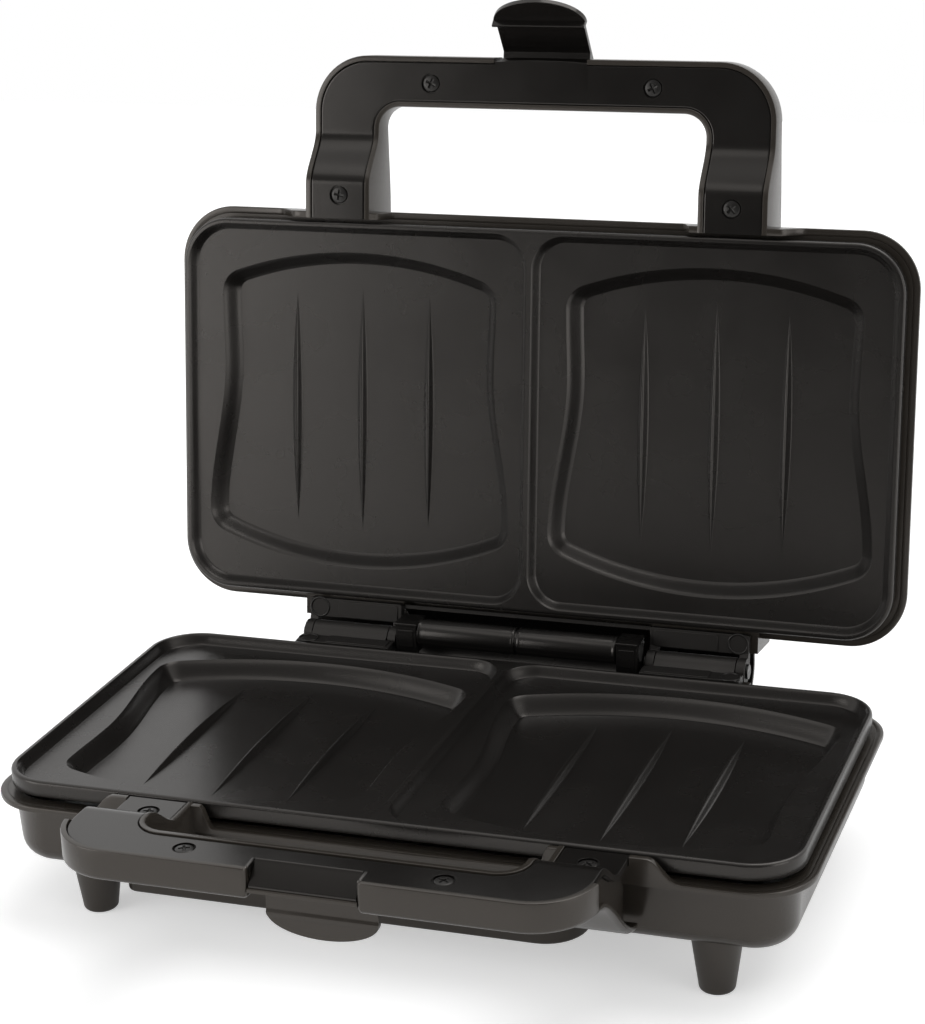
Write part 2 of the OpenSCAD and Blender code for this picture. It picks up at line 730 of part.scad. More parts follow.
module pocket_hollow() {
    steps = [for (i = [0:slope_n]) 1 - i / slope_n];
    loft(concat([for (t = steps) pocket_line(pocket_slope * t)], [pocket_line(0)]),
        concat([for (t = steps) -land_drop - pocket_drop * smooth(t)], [-land_drop + 1]));
}

// Ridge with pointed ends, highest in its middle, whose ends dive under the pocket's floor
module ridge(length) {
    flat_share = 0.3;
    flare = ridge_root * (1 - flat_share) * ridge_w / 2 / ridge_h;
    spread = [for (i = [0:ridge_n]) let (t = 2 * i / ridge_n - 1) 1 - t * t];
    points = [for (i = [0:ridge_n]) let (y = length * (i / ridge_n - 0.5),
        w = ridge_w / 2 * (ridge_end + (1 - ridge_end) * spread[i]),
        h = (ridge_h + ridge_dive) * spread[i] - ridge_dive, f = w * flat_share)
        for (p = [[-w - flare, -ridge_root], [-f, h], [f, h], [w + flare, -ridge_root]]) [p[0], y, p[1]]];
    sides = [for (k = [0:ridge_n - 1]) for (i = [0:3]) let (j = (i + 1) % 4)
        for (f = [[k * 4 + i, k * 4 + 4 + i, k * 4 + 4 + j], [k * 4 + i, k * 4 + 4 + j, k * 4 + j]]) f];
    polyhedron(points, concat([[0, 1, 2, 3]], sides, [[for (i = [3:-1:0]) ridge_n * 4 + i]]), convexity = 2);
}

// Casting with its cells, pockets and ridges, as one moulded surface
module plate_casting() resize([2 * plate_hx, 2 * plate_hy, 0]) {
    difference() {
        plate_body();
        translate([cell_cx, 0, 0]) cell_hollow();
        mirror([1, 0, 0]) translate([cell_cx, 0, 0]) cell_hollow();
        for (s = [-1, 1]) {
            translate([s * cell_cx, 0, 0]) pocket_hollow();
        }
    }
    for (s = [-1, 1]) {
        for (k = [-1:1]) {
            translate([s * cell_cx + k * ridge_step, 0, -pocket_floor])
                ridge(ridge_len - abs(k) * ridge_short);
        }
    }
}

module half_plate() {
    plate_casting();
    corners(post_x, post_y) {
        translate([0, 0, -shield_top]) cylinder(r = post_r, h = shield_top - plate_edge_h + 0.5);
        translate([0, 0, -shield_low - retainer_t - 1]) cylinder(r = stud_r, h = shield_t + retainer_t + 2);
    }
}

module half_retainers() {
    corners(post_x, post_y) translate([0, 0, -shield_low - retainer_t]) difference() {
        cylinder(r = retainer_r, h = retainer_t);
        translate([0, 0, -1]) cylinder(r = stud_r + 0.02, h = retainer_t + 2);
    }
}

module half_element() {
    r = element_gap / 2;
    translate([0, 0, -element_z]) {
        for (s = [-1, 1]) {
            translate([-element_run / 2, s * r, 0]) rotate([0, 90, 0])
                cylinder(r = element_r, h = element_run / 2 + element_run / 2 - r);
            translate([-element_run / 2 - 12, s * r, 0]) rotate([0, 90, 0]) cylinder(r = 1.4, h = 14);
        }
        translate([element_run / 2 - r, 0, 0]) rotate([0, 0, -90]) rotate_extrude(angle = 180)
            translate([r, 0]) circle(element_r);
    }
}

module half_shield() {
    difference() {
        translate([0, 0, -shield_low]) {
            linear_extrude(shield_t + shield_rim_h) round_rect(shield_hx, shield_hy, shield_r);
            for (s = [-1, 1]) {
                translate([0, s * tab_y - tab_w / 2, 0])
                    translate([-shield_hx - tab_out, 0, 0]) cube([2 * (shield_hx + tab_out), tab_w, shield_t]);
            }
        }
        translate([0, 0, -shield_top]) linear_extrude(shield_rim_h + 1)
            round_rect(shield_hx - shield_t, shield_hy - shield_t, shield_r - shield_t);
        corners(post_x, post_y) translate([0, 0, -shield_low - 1]) cylinder(r = stud_r + 0.1, h = shield_t + 2);
        translate([0, 0, -shield_low - 1]) cylinder(r = 5, h = shield_t + 2);
    }
}

module lower_plate() color(plate_black) on_floor() half_plate();
module upper_plate() color(plate_black) turned() half_plate();
module lower_plate_retainers() color(steel) on_floor() half_retainers();
module upper_plate_retainers() color(steel) turned() half_retainers();
module lower_heating_element() color(steel) on_floor() half_element();
module upper_heating_element() color(steel) turned() half_element();
module lower_heat_shield() color(steel) on_floor() half_shield();
module upper_heat_shield() color(steel) turned() half_shield();

// Controls and wiring

module thermostat() color(cream) on_floor() translate([0, -waist_y, -plate_edge_h]) {
    translate([0, 0, -7]) cylinder(r = 7, h = 7);
    for (s = [-1, 1]) {
        block([-1.5, s * 6 - 1.5, -9], [1.5, s * 6 + 1.5, -6.9]);
    }
}

module thermal_fuse() color(steel) on_floor() translate([0, 30, -plate_edge_h - 2.05]) rotate([90, 0, 0]) {
    cylinder(r = 2, h = 14);
    translate([0, 0, -6]) cylinder(r = 0.6, h = 26);
}

module terminal_block() color(cream) on_floor() difference() {
    translate([-terminal_w / 2, -terminal_step, terminal_low]) cube([terminal_w, terminal_d, terminal_h]);
    for (k = [-1:1]) {
        for (y = [terminal_d / 4 - terminal_step, 0.75 * terminal_d - terminal_step]) {
            translate([k * terminal_step, y, terminal_top - terminal_h / 2])
                cylinder(r = terminal_step / 4, h = terminal_h);
        }
    }
}

// Flat sleeve that follows points in a plane, with round turns
module sleeve(points) {
    linear_extrude(2 * wire_r) for (i = [0:len(points) - 2]) {
        d = points[i + 1] - points[i];
        translate(points[i]) circle(wire_r);
        translate(points[i]) rotate([0, 0, atan2(d[1], d[0])])
            translate([0, 0.1 - wire_r]) square([norm(d), 2 * wire_r - 0.2]);
        translate(points[i + 1]) circle(wire_r);
    }
}

module base_wiring() color(cream) on_floor() for (s = [-1, 1]) {
    translate([0, 0, wire_z]) sleeve([[s * wire_gap, 1], [s * wire_gap, s * wire_turn],
        [wire_end_x, s * element_gap / 4]]);
    translate([s * wire_gap, 1, terminal_top]) cylinder(r = wire_r - 0.1, h = wire_z + wire_r - terminal_top);
}

module lid_wiring() color(cream) turned() for (s = [-1, 1]) {
    x = s * (lamp_dx / 2 - wire_gap);
    lamp_end = -rim_hy + lamp_y;
    board_top = lamp_board_z + lamp_board_t + 1 - inner_floor;
    translate([0, 0, wire_z]) sleeve([[wire_end_x, s * wire_gap], [x, (s - 2) * wire_gap], [x, lamp_end]]);
    translate([x, lamp_end, board_top]) cylinder(r = wire_r - 0.1, h = wire_z + wire_r - board_top);
}

module lamp_places() {
    for (s = [-1, 1]) {
        translate([s * lamp_dx / 2, -rim_hy + lamp_y, 0]) children();
    }
}

// Domed lamp lens with a flange inside the lid
module lamp_lens() {
    translate([0, -rim_hy + lamp_y, -housing_h]) {
        cylinder(r = lamp_r, h = wall_t);
        translate([0, 0, wall_t]) cylinder(r = lamp_r + 1.2, h = 1);
        translate([0, 0, -lamp_out]) cylinder(r1 = lamp_r - 0.8, r2 = lamp_r, h = lamp_out);
    }
}

module power_lamp_lens() color(lamp_red) turned() translate([-lamp_dx / 2, 0, 0]) lamp_lens();
module ready_lamp_lens() color(lamp_green) turned() translate([lamp_dx / 2, 0, 0]) lamp_lens();

module lamp_holder() color(cream) turned() translate([0, -rim_hy + lamp_y, -inner_floor + 1]) {
    half = [lamp_dx / 2 + lamp_r + 3, lamp_r + 2];
    block([-half[0], -half[1], lamp_board_z], [half[0], half[1], lamp_board_z + lamp_board_t]);
    for (s = [-1, 1]) {
        translate([s * lamp_dx / 2, 0, 0]) cylinder(r = lamp_r * 0.6, h = lamp_board_z + 0.1);
    }
}

// Handles

// Outline of a handle seen from above, drawn in by a distance
module handle_plan(d) {
    difference() {
        union() {
            translate([-handle_half_w + d, -handle_reach + handle_r])
                square([2 * (handle_half_w - d), handle_reach - handle_r - root_end]);
            translate([-handle_half_w + handle_r, -handle_reach + d])
                square([2 * (handle_half_w - handle_r), handle_r]);
            for (s = [-1, 1]) {
                translate([s * (handle_half_w - handle_r), -handle_reach + handle_r]) circle(handle_r - d);
            }
        }
        translate([-grip_hx - d, -bar_rear + grip_r]) square([2 * (grip_hx + d), handle_reach]);
        translate([-grip_hx + grip_r, -bar_rear - d]) square([2 * (grip_hx - grip_r), handle_reach]);
        for (s = [-1, 1]) {
            translate([s * (grip_hx - grip_r), -bar_rear + grip_r]) circle(grip_r + d);
        }
    }
}

// Height of the handles' joint over the parting plane, at a distance from the front
function joint_line(z_root, z_bar, y0, y1) = concat([[y1, z_root], [-step_rear, z_root]],
    [for (i = [1:step_n - 1]) [-step_rear - step_len * i / step_n,
        z_root + (z_bar - z_root) * smooth(i / step_n)]],
    [[-step_front, z_bar], [y0, z_bar]]);

// Curve of an arm's outer side, from the bar to the housing
function arm_line(z_bar, z_root) = concat([[-handle_reach - 1, z_bar]],
    [for (i = [0:step_n]) [-bar_rear + (bar_rear - root_end) * i / step_n,
        z_bar + (z_root - z_bar) * smooth(i / step_n)]]);

function wall_line(z) = -wall_y + tan(draft) * (-rim_low - z) - 0.15;

// Side view of the lower handle, between its joint and its underside
module lower_side(top_drop, low_rise) {
    polygon(concat(joint_line(-half_gap - top_drop, lower_rim - top_drop, -handle_reach - 1, -root_end),
        [for (p = arm_line(bar_low, -arm_root_h)) [p[0], p[1] + low_rise]]));
}

module upper_side(top_drop, low_rise) {
    polygon(concat(joint_line(half_gap + low_rise, upper_rim + low_rise, -handle_reach - 1, -root_end),
        [for (p = arm_line(bar_high, arm_top_h)) [p[0], p[1] - top_drop]]));
}

// Space of the housing and its rim, kept clear of the handles
module housing_space(up) {
    side_bar(-handle_half_w - 1, handle_half_w + 1) mirror([0, up]) polygon([[-rim_hy - 0.1, 1],
        [-rim_hy - 0.1, -rim_low - 0.1], [wall_line(-rim_low), -rim_low - 0.1],
        [wall_line(-housing_h), -housing_h], [0, -housing_h], [0, 1]]);
}

module handle_screw_places(z_bar, z_root) {
    left_right() {
        translate([bar_screw_x, -handle_reach + bar_screw_y, z_bar]) children();
        translate([handle_half_w - arm_screw_x, -rim_hy - arm_screw_y, z_root]) children();
    }
}

// Posts inside a lower shell that carry its cover's screws
module lower_posts() {
    left_right() {
        translate([bar_screw_x, -handle_reach + bar_screw_y, bar_low + 0.5])
            cylinder(r = screw_boss_r, h = lower_rim - post_low - bar_low - 0.5);
        translate([handle_half_w - arm_screw_x, -rim_hy - arm_screw_y, -arm_root_h])
            cylinder(r = screw_boss_r, h = arm_root_h - half_gap - post_low);
    }
}

module lower_handle_shell() color(bronze) on_floor() difference() {
    intersection() {
        linear_extrude(80, center = true) handle_plan(0);
        side_bar(-handle_half_w - 1, handle_half_w + 1) lower_side(0, 0);
    }
    difference() {
        intersection() {
            linear_extrude(80, center = true) handle_plan(shell_t);
            side_bar(-handle_half_w - 1, handle_half_w + 1) lower_side(-2, shell_t + 0.4);
        }
        lower_posts();
        block([-notch_half_w - 2.2, -handle_reach, bar_low], [notch_half_w + 2.2, catch_y + 5, catch_top]);
    }
    left_right() intersection() {
        block([handle_half_w - shell_t - 1, -rim_hy - side_gap, -40], [handle_half_w + 1, -root_end + 1, 20]);
        side_bar(0, handle_half_w + 1) lower_side(-2, shell_t + 0.4);
    }
    housing_space(0);
    handle_screw_places(lower_lining, root_lining) translate([0, 0, -screw_len - 0.6])
        cylinder(r = screw_r + screw_fit, h = screw_len);
    block([-notch_half_w, -handle_reach - 1, catch_top], [notch_half_w, -handle_reach + notch_d + 0.4, 20]);
    block([-notch_half_w, -handle_reach - 1, bar_low - 1], [notch_half_w, catch_y, catch_top + eps]);
    block([-notch_half_w, -handle_reach - 1, bar_low - 1], [notch_half_w, catch_y + barb_d + 0.4, catch_low]);
}

// Side view of a handle cover: a band that follows the joint
module lining_side(z_root, z_bar) {
    low = joint_line(z_root, z_bar, -handle_reach, -rim_hy + 2.6);
    top = joint_line(z_root + lining_t, z_bar + lining_t, -handle_reach, -rim_hy + 2.6);
    polygon(concat(low, [for (i = [len(top) - 1:-1:0]) top[i]]));
}

module lining(z_root, z_bar) {
    intersection() {
        linear_extrude(80, center = true) handle_plan(shell_t + lining_gap);
        side_bar(-handle_half_w, handle_half_w) lining_side(z_root, z_bar);
    }
}

// Cover of the lower handle, with the slope that lies in the notch
module lower_handle_cover() color(black) on_floor() {
    slope_y = -handle_reach + notch_d;
    difference() {
        lining(root_lining - lining_t, lower_lining - lining_t);
        handle_screw_places(lower_lining, root_lining) screw_sink();
        block([-notch_half_w - 1, -handle_reach - 1, 0], [notch_half_w + 1, slope_y, 20]);
    }
    side_bar(-notch_half_w + 0.3, notch_half_w - 0.3) polygon([[slope_y + 0.5, lower_lining],
        [slope_y, lower_lining], [catch_y + 0.5, catch_top + 1], [catch_y + 0.5, catch_top + 0.1],
        [catch_y + 2.5, catch_top + 0.1], [slope_y + 0.5, lower_lining - lining_t]]);
    left_right() intersection() {
        block([handle_half_w - 4.6, -rim_hy - side_gap + 0.2, -40],
            [handle_half_w - 2.8, -rim_hy - 0.3, 20]);
        side_bar(0, handle_half_w) lower_side(lining_sink + 1, shell_t + 0.6);
    }
}

module lower_handle_screws() color(steel) on_floor()
    handle_screw_places(lower_lining, root_lining) screw(screw_len);

// Posts inside the upper shell that carry its cover's screws
module upper_posts() {
    left_right() {
        translate([bar_screw_x, -handle_reach + bar_screw_y, upper_rim + post_low])
            cylinder(r = screw_boss_r, h = bar_high - upper_rim - post_low - 0.5);
        translate([handle_half_w - arm_screw_x, -rim_hy - arm_screw_y, half_gap + post_low])
            cylinder(r = screw_boss_r, h = arm_top_h - half_gap - post_low);
    }
}

module upper_handle_shell() color(bronze) swung() difference() {
    intersection() {
        linear_extrude(80, center = true) handle_plan(0);
        side_bar(-handle_half_w - 1, handle_half_w + 1) upper_side(0, 0);
    }
    difference() {
        intersection() {
            linear_extrude(80, center = true) handle_plan(shell_t);
            side_bar(-handle_half_w - 1, handle_half_w + 1) upper_side(shell_t + 0.4, -2);
        }
        upper_posts();
        block([-slot_w - 4, -handle_reach, upper_rim + post_low], [slot_w + 4, slot_y + 2, bar_high]);
    }
    housing_space(1);
    handle_screw_places(upper_lining, -root_lining) translate([0, 0, 0.6])
        cylinder(r = screw_r + screw_fit, h = screw_len);
    block([-slot_w, -handle_reach - 1, upper_rim + post_low], [slot_w, slot_y, bar_high + 1]);
    block([-slot_w, -handle_reach - 1, 0], [slot_w, -handle_reach + shell_t + eps, bar_high + 1]);
    translate([-slot_w - 3, pivot_y, latch_z]) rotate([0, 90, 0])
        cylinder(r = latch_pin_r + pin_fit, h = 2 * slot_w + 6);
}

module upper_handle_cover() color(black) swung() difference() {
    lining(-root_lining, upper_lining);
    handle_screw_places(upper_lining, -root_lining) mirror([0, 0, 1]) screw_sink();
}

module upper_handle_screws() color(steel) swung()
    handle_screw_places(upper_lining, -root_lining) mirror([0, 0, 1]) screw(screw_len);

// Latch

module latch_pin() color(steel) swung() translate([-slot_w - 2.8, pivot_y, latch_z])
    rotate([0, 90, 0]) cylinder(r = latch_pin_r, h = 2 * slot_w + 5.6);

// The latch as it hangs when shut, with its pivot at the origin
module hanging_latch() {
    web_front = web_back - web_t;
    tab_half = latch_half_w + tab_side;
    difference() {
        union() {
            rotate([0, 90, 0]) cylinder(r = hub_r, h = 2 * latch_half_w, center = true);
            side_bar(-latch_half_w, latch_half_w) polygon([[0, hub_r], [web_front + 1.4, hub_r],
                [web_front, hub_r - 1.4], [web_front, barb_top - barb_h], [web_back, barb_top - barb_h],
                [web_back, -hub_r - 1], [-0.6, -hub_r + 0.1]]);
            side_bar(-tab_half, tab_half) polygon([[web_back - eps, barb_top + 0.4],
                [web_back + barb_d, barb_top], [web_back + barb_d, barb_top - barb_h * 0.6],
                [web_back - eps, barb_top - barb_h]]);
            translate([0, web_back, barb_top - barb_h / 2]) rotate([90, 0, 0]) linear_extrude(web_t)
                polygon([for (i = [0:24]) [tab_half * cos(180 + 7.5 * i),
                    (tab_h + 0.5) * sin(180 + 7.5 * i)]]);
        }
        rotate([0, 90, 0]) cylinder(r = latch_pin_r + pin_fit, h = 3 * latch_half_w, center = true);
    }
}

module latch() color(black) swung() translate([0, pivot_y, latch_z])
    rotate([-latch_swing, 0, 0]) hanging_latch();

// Curved tab for the fingers under the lower bar
module finger_tab() color(bronze) on_floor() {
    tab_y0 = -bar_rear - 3.2;
    translate([-tongue_half_w, tab_y0, bar_low - tongue_h]) cube([2 * tongue_half_w, 2, tongue_h - 0.02]);
    translate([0, tab_y0 + 2, bar_low - tongue_h]) rotate([90, 0, 0]) linear_extrude(2.6)
        polygon([for (i = [0:24]) [tongue_half_w * cos(180 + 7.5 * i), tongue_tip_h * sin(180 + 7.5 * i)]]);
}

// Hinge

// Flange of a hinge bracket with its two ears, for one side of the base
module bracket_flange() {
    difference() {
        block([bracket_in, flange_front, -flange_low], [bracket_out, flange_rear, -flange_z]);
        for (x = [hinge_screw_x, hinge_screw_x - hinge_screw_dx]) {
            translate([x, hinge_screw_y, -flange_z]) screw_sink();
        }
    }
}

// Ear round the pin, with the arm that joins it to the flange under it
module ear(x) {
    difference() {
        union() {
            translate([x, hinge_y, hinge_z]) rotate([0, 90, 0]) cylinder(r = ear_r, h = ear_t);
            side_bar(x, x + ear_t) polygon([[flange_rear + 0.3, -flange_low],
                [flange_rear - 0.5, -flange_low], [flange_rear - 0.5, -flange_z],
                [flange_rear + 0.4, -flange_z], [hinge_y - ear_r * 0.5, hinge_z + ear_r * 0.8],
                [hinge_y, hinge_z], [hinge_y - ear_r * 0.5, hinge_z - ear_r * 0.8]]);
        }
        translate([x - 1, hinge_y, hinge_z]) rotate([0, 90, 0]) cylinder(r = pin_r + pin_fit, h = ear_t + 2);
    }
}

module lid_ear(x) {
    difference() {
        union() {
            translate([x, hinge_y, hinge_z]) rotate([0, 90, 0]) cylinder(r = ear_r, h = ear_t);
            side_bar(x, x + ear_t) polygon([[flange_rear - 0.5, flange_low], [flange_rear - 0.5, flange_z],
                [flange_rear + 0.4, flange_z], [hinge_y - ear_r * 0.7, hinge_z - ear_r * 0.7],
                [hinge_y, hinge_z], [hinge_y - ear_r * 0.1, flange_low - 0.2]]);
        }
        translate([x - 1, hinge_y, hinge_z]) rotate([0, 90, 0]) cylinder(r = pin_r + pin_fit, h = ear_t + 2);
    }
}

module base_bracket() {
    bracket_flange();
    for (x = base_ears) {
        ear(x);
    }
}

module lid_bracket() {
    mirror([0, 0, 1]) bracket_flange();
    for (x = lid_ears) {
        lid_ear(x);
    }
}

module base_hinge_bracket_right() color(black) on_floor() base_bracket();
module base_hinge_bracket_left() color(black) on_floor() mirror([1, 0, 0]) base_bracket();
module lid_hinge_bracket_right() color(black) swung() lid_bracket();
module lid_hinge_bracket_left() color(black) swung() mirror([1, 0, 0]) lid_bracket();

module base_hinge_screws() color(steel) on_floor()
    hinge_screw_places() translate([0, 0, -flange_z]) screw(screw_len);

module lid_hinge_screws() color(steel) turned()
    hinge_screw_places() translate([0, 0, -flange_z]) screw(screw_len);

// Two short pins with a head at each end
module hinge_pins() {
    for (x = [bracket_in, base_ears[1]]) {
        translate([x, hinge_y, hinge_z]) rotate([0, 90, 0]) {
            translate([0, 0, -0.9]) cylinder(r = pin_r, h = 2 * ear_t + ear_gap + 1.8);
            translate([0, 0, -0.9]) cylinder(r = pin_r + 0.9, h = 0.8);
            translate([0, 0, 2 * ear_t + ear_gap + 0.1]) cylinder(r = pin_r + 0.9, h = 0.8);
        }
    }
}

module hinge_pins_right() color(steel) on_floor() hinge_pins();
module hinge_pins_left() color(steel) on_floor() mirror([1, 0, 0]) hinge_pins();

// Part of a ring round the hinge axis in the side view, between two angles
module ring_part(a0, a1) {
    far = 2 * trough_out;
    translate([hinge_y, hinge_z]) intersection() {
        difference() {
            circle(trough_out);
            circle(trough_r);
        }
        polygon(concat([[0, 0]], [for (i = [0:6]) let (a = a0 + (a1 - a0) * i / 6) far * [cos(a), sin(a)]]));
    }
}

// Trough that closes the space behind the hinge
module hinge_cover() color(black) on_floor() {
    side_bar(-bracket_in + 0.3, bracket_in - 0.3) ring_part(270, trough_end);
    side_bar(-bracket_in + 0.3, bracket_in - 0.3) translate([trough_front, trough_low])
        square([hinge_y - trough_front, trough_t]);
    left_right() side_bar(bracket_in - 0.4, bracket_out) ring_part(252, 370);
}

module tube_half() {
    translate([tube_seam / 2, tube_y, tube_z]) rotate([0, 90, 0]) difference() {
        cylinder(r = tube_r, h = tube_len);
        translate([0, 0, -1]) cylinder(r = tube_bore_r, h = tube_len + 2);
    }
}

// The left half carries the narrow ring in the seam
module wiring_tube_left() color(black) on_floor() {
    mirror([1, 0, 0]) tube_half();
    translate([-tube_seam / 2, tube_y, tube_z]) rotate([0, 90, 0]) difference() {
        cylinder(r = tube_r - 0.6, h = tube_seam);
        translate([0, 0, -1]) cylinder(r = tube_bore_r, h = tube_seam + 2);
    }
}

module wiring_tube_right() color(black) on_floor() tube_half();

// Blocks that hold the tube's ends, each on a leg that stands in the hinge cover
module wiring_tube_clips() color(black) on_floor() left_right() difference() {
    union() {
        block([tube_end, clip_y0, clip_z0], [tube_end + tube_clip_w, clip_y1, clip_z1]);
        block([tube_end, clip_y0, trough_low + trough_t], [tube_end + tube_clip_w, clip_y0 + 3.4, clip_z0 + eps]);
    }
    translate([tube_end - 1, tube_y, tube_z]) rotate([0, 90, 0]) cylinder(r = tube_bore_r, h = tube_clip_w + 2);
}

module loom() color(black) on_floor() translate([-tube_end - tube_clip_w, tube_y, tube_z]) rotate([0, 90, 0])
    cylinder(r = tube_bore_r - 0.3, h = 2 * (tube_end + tube_clip_w));

base_housing();
bottom_cover();
bottom_cover_screws();
foot_front_left();
foot_front_right();
foot_rear_left();
foot_rear_right();
lower_plate();
lower_heating_element();
lower_heat_shield();
lower_plate_retainers();
lower_handle_shell();
lower_handle_cover();
lower_handle_screws();
finger_tab();
thermostat();
thermal_fuse();
terminal_block();
base_wiring();
cord_gland();
base_hinge_bracket_left();
base_hinge_bracket_right();
base_hinge_screws();
hinge_pins_left();
hinge_pins_right();
hinge_cover();
wiring_tube_left();
wiring_tube_right();
wiring_tube_clips();
loom();
lid_housing();
upper_plate();
upper_heating_element();
upper_heat_shield();
upper_plate_retainers();
upper_handle_shell();
upper_handle_cover();
upper_handle_screws();
lid_hinge_bracket_left();
lid_hinge_bracket_right();
lid_hinge_screws();
power_lamp_lens();
ready_lamp_lens();
lamp_holder();
lid_wiring();
latch_pin();
latch();
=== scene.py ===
import json
import math

import bmesh
import bpy
import numpy as np
from mathutils import Matrix, Vector
from mathutils.geometry import tessellate_polygon


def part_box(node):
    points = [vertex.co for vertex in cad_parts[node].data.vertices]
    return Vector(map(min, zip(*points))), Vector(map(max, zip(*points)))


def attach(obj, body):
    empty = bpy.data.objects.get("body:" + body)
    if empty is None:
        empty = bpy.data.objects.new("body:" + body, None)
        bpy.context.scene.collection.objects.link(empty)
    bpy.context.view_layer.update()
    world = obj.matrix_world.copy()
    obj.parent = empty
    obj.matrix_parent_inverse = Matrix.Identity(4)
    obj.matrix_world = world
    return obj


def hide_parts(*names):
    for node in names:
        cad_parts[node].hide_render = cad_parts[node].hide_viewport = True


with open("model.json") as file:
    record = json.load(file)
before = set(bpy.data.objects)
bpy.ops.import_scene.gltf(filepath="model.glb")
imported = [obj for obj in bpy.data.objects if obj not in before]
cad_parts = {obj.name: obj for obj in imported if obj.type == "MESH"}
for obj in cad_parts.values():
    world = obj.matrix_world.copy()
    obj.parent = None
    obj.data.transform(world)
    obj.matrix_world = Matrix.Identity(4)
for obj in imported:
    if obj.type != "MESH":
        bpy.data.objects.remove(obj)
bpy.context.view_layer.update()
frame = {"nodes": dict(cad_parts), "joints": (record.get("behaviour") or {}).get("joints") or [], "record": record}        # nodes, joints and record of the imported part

# Everything is drawn in millimetres in the plates' frame: the parting plane is z = 0,
# the middle of the plates is x = y = 0, and the closed lid lies over that plane.
mm = 0.001
halfGap = 0.2
plateLow, plateHigh = (np.array(corner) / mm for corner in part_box("lower_plate"))
rimLow, rimHigh = (np.array(corner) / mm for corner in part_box("base_housing"))
handleLow, handleHigh = (np.array(corner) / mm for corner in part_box("lower_handle_shell"))
midY = -(plateLow[1] + plateHigh[1]) / 2
floorDrop = plateHigh[2] + halfGap
joints = {joint["name"]: joint for joint in frame["joints"]}
hingePos = np.array(joints["lid_hinge"]["pos_m"]) / mm + [0, midY, -floorDrop]
openAngle = math.radians(joints["lid_hinge"]["range_deg"][1])
latchSwing = math.radians(joints["latch_pivot"]["range_deg"][1])
plateX = plateHigh[0]
plateY = (plateHigh[1] - plateLow[1]) / 2
rimX = rimHigh[0]
rimY = -rimLow[1] - midY
handleX = handleHigh[0]
handleY = -handleLow[1] - midY
print("frame: plates", round(plateX, 2), round(plateY, 2), "rim", round(rimX, 2), round(rimY, 2),
      "handle", round(handleX, 2), round(handleY, 2))


# Places

def setDown(points):
    # from the plates' frame to the row's frame, in metres
    return (points + np.array([0, -midY, floorDrop])) * mm


def swingOpen(points):
    # a turn about the hinge by the opening angle, then set down
    y, z = points[:, 1] - hingePos[1], points[:, 2] - hingePos[2]
    c, s = math.cos(openAngle), math.sin(openAngle)
    turned = np.stack([points[:, 0], hingePos[1] + y * c + z * s, hingePos[2] - y * s + z * c], axis=1)
    return setDown(turned)


def turnOver(points):
    # mirrored on the parting plane, then swung open
    return swingOpen(points * np.array([1, 1, -1]))


latchPivot = np.array([0, -handleY + 2.8, 19.0])


def swingLatch(points):
    # from the hanging latch's own frame: swung out on its pin, then opened with the lid
    y, z = points[:, 1], points[:, 2]
    c, s = math.cos(latchSwing), math.sin(latchSwing)
    out = np.stack([points[:, 0], y * c + z * s, -y * s + z * c], axis=1)
    return swingOpen(out + latchPivot)


# Curves and sheets

def smooth(t):
    # the cubic 3t^2 - 2t^3, kept between 0 and 1
    t = np.clip(t, 0, 1)
    return 3 * t ** 2 - 2 * t ** 3


def roundedLoop(halfX, halfY, radii, cornerSteps=16, sides=None):
    # a rounded rectangle as points and outward normals, turning left from the right side's front:
    # each corner is an arc of its own radius, and each straight side is cut at the given shares
    sides = sides or [[0.5]] * 4
    signs = [(1, 1), (-1, 1), (-1, -1), (1, -1)]
    points, normals = [], []
    for k, (sx, sy) in enumerate(signs):
        r = radii[k]
        centre = np.array([sx * (halfX - r), sy * (halfY - r)])
        a = np.radians(90 * k + np.linspace(0, 90, cornerSteps + 1))
        n = np.stack([np.cos(a), np.sin(a)], axis=1)
        points.append(centre + r * n)
        normals.append(n)
        nx, ny = signs[(k + 1) % 4]
        nextR = radii[(k + 1) % 4]
        start = points[-1][-1]
        end = np.array([nx * (halfX - nextR), ny * (halfY - nextR)]) + nextR * n[-1]
        share = np.array(sides[k])[:, None]
        points.append(start + (end - start) * share)
        normals.append(np.repeat(n[-1:], len(share), axis=0))
    return np.vstack(points), np.vstack(normals)


def inset(loop, distance):
    # every point of the loop moved inwards along its normal
    return loop[0] - np.asarray(distance).reshape(-1, 1) * loop[1]


def ringSheet(loop, insets, heights):
    # one row of points for each inset and height: a loop drawn in and lifted
    rows = []
    for d, z in zip(insets, heights):
        flat = inset(loop, d)
        rows.append(np.column_stack([flat, np.broadcast_to(z, len(flat))]))
    return np.array(rows)


def gridFaces(rows, columns, closeColumns=True, closeRows=False, start=0):
    # quads between neighbours of a grid, joined round where a direction is closed
    r = np.arange(rows if closeRows else rows - 1)
    c = np.arange(columns if closeColumns else columns - 1)
    r, c = np.meshgrid(r, c, indexing="ij")
    r2, c2 = (r + 1) % rows, (c + 1) % columns
    quads = np.stack([r * columns + c, r * columns + c2, r2 * columns + c2, r2 * columns + c], axis=-1)
    return (quads.reshape(-1, 4) + start).tolist()


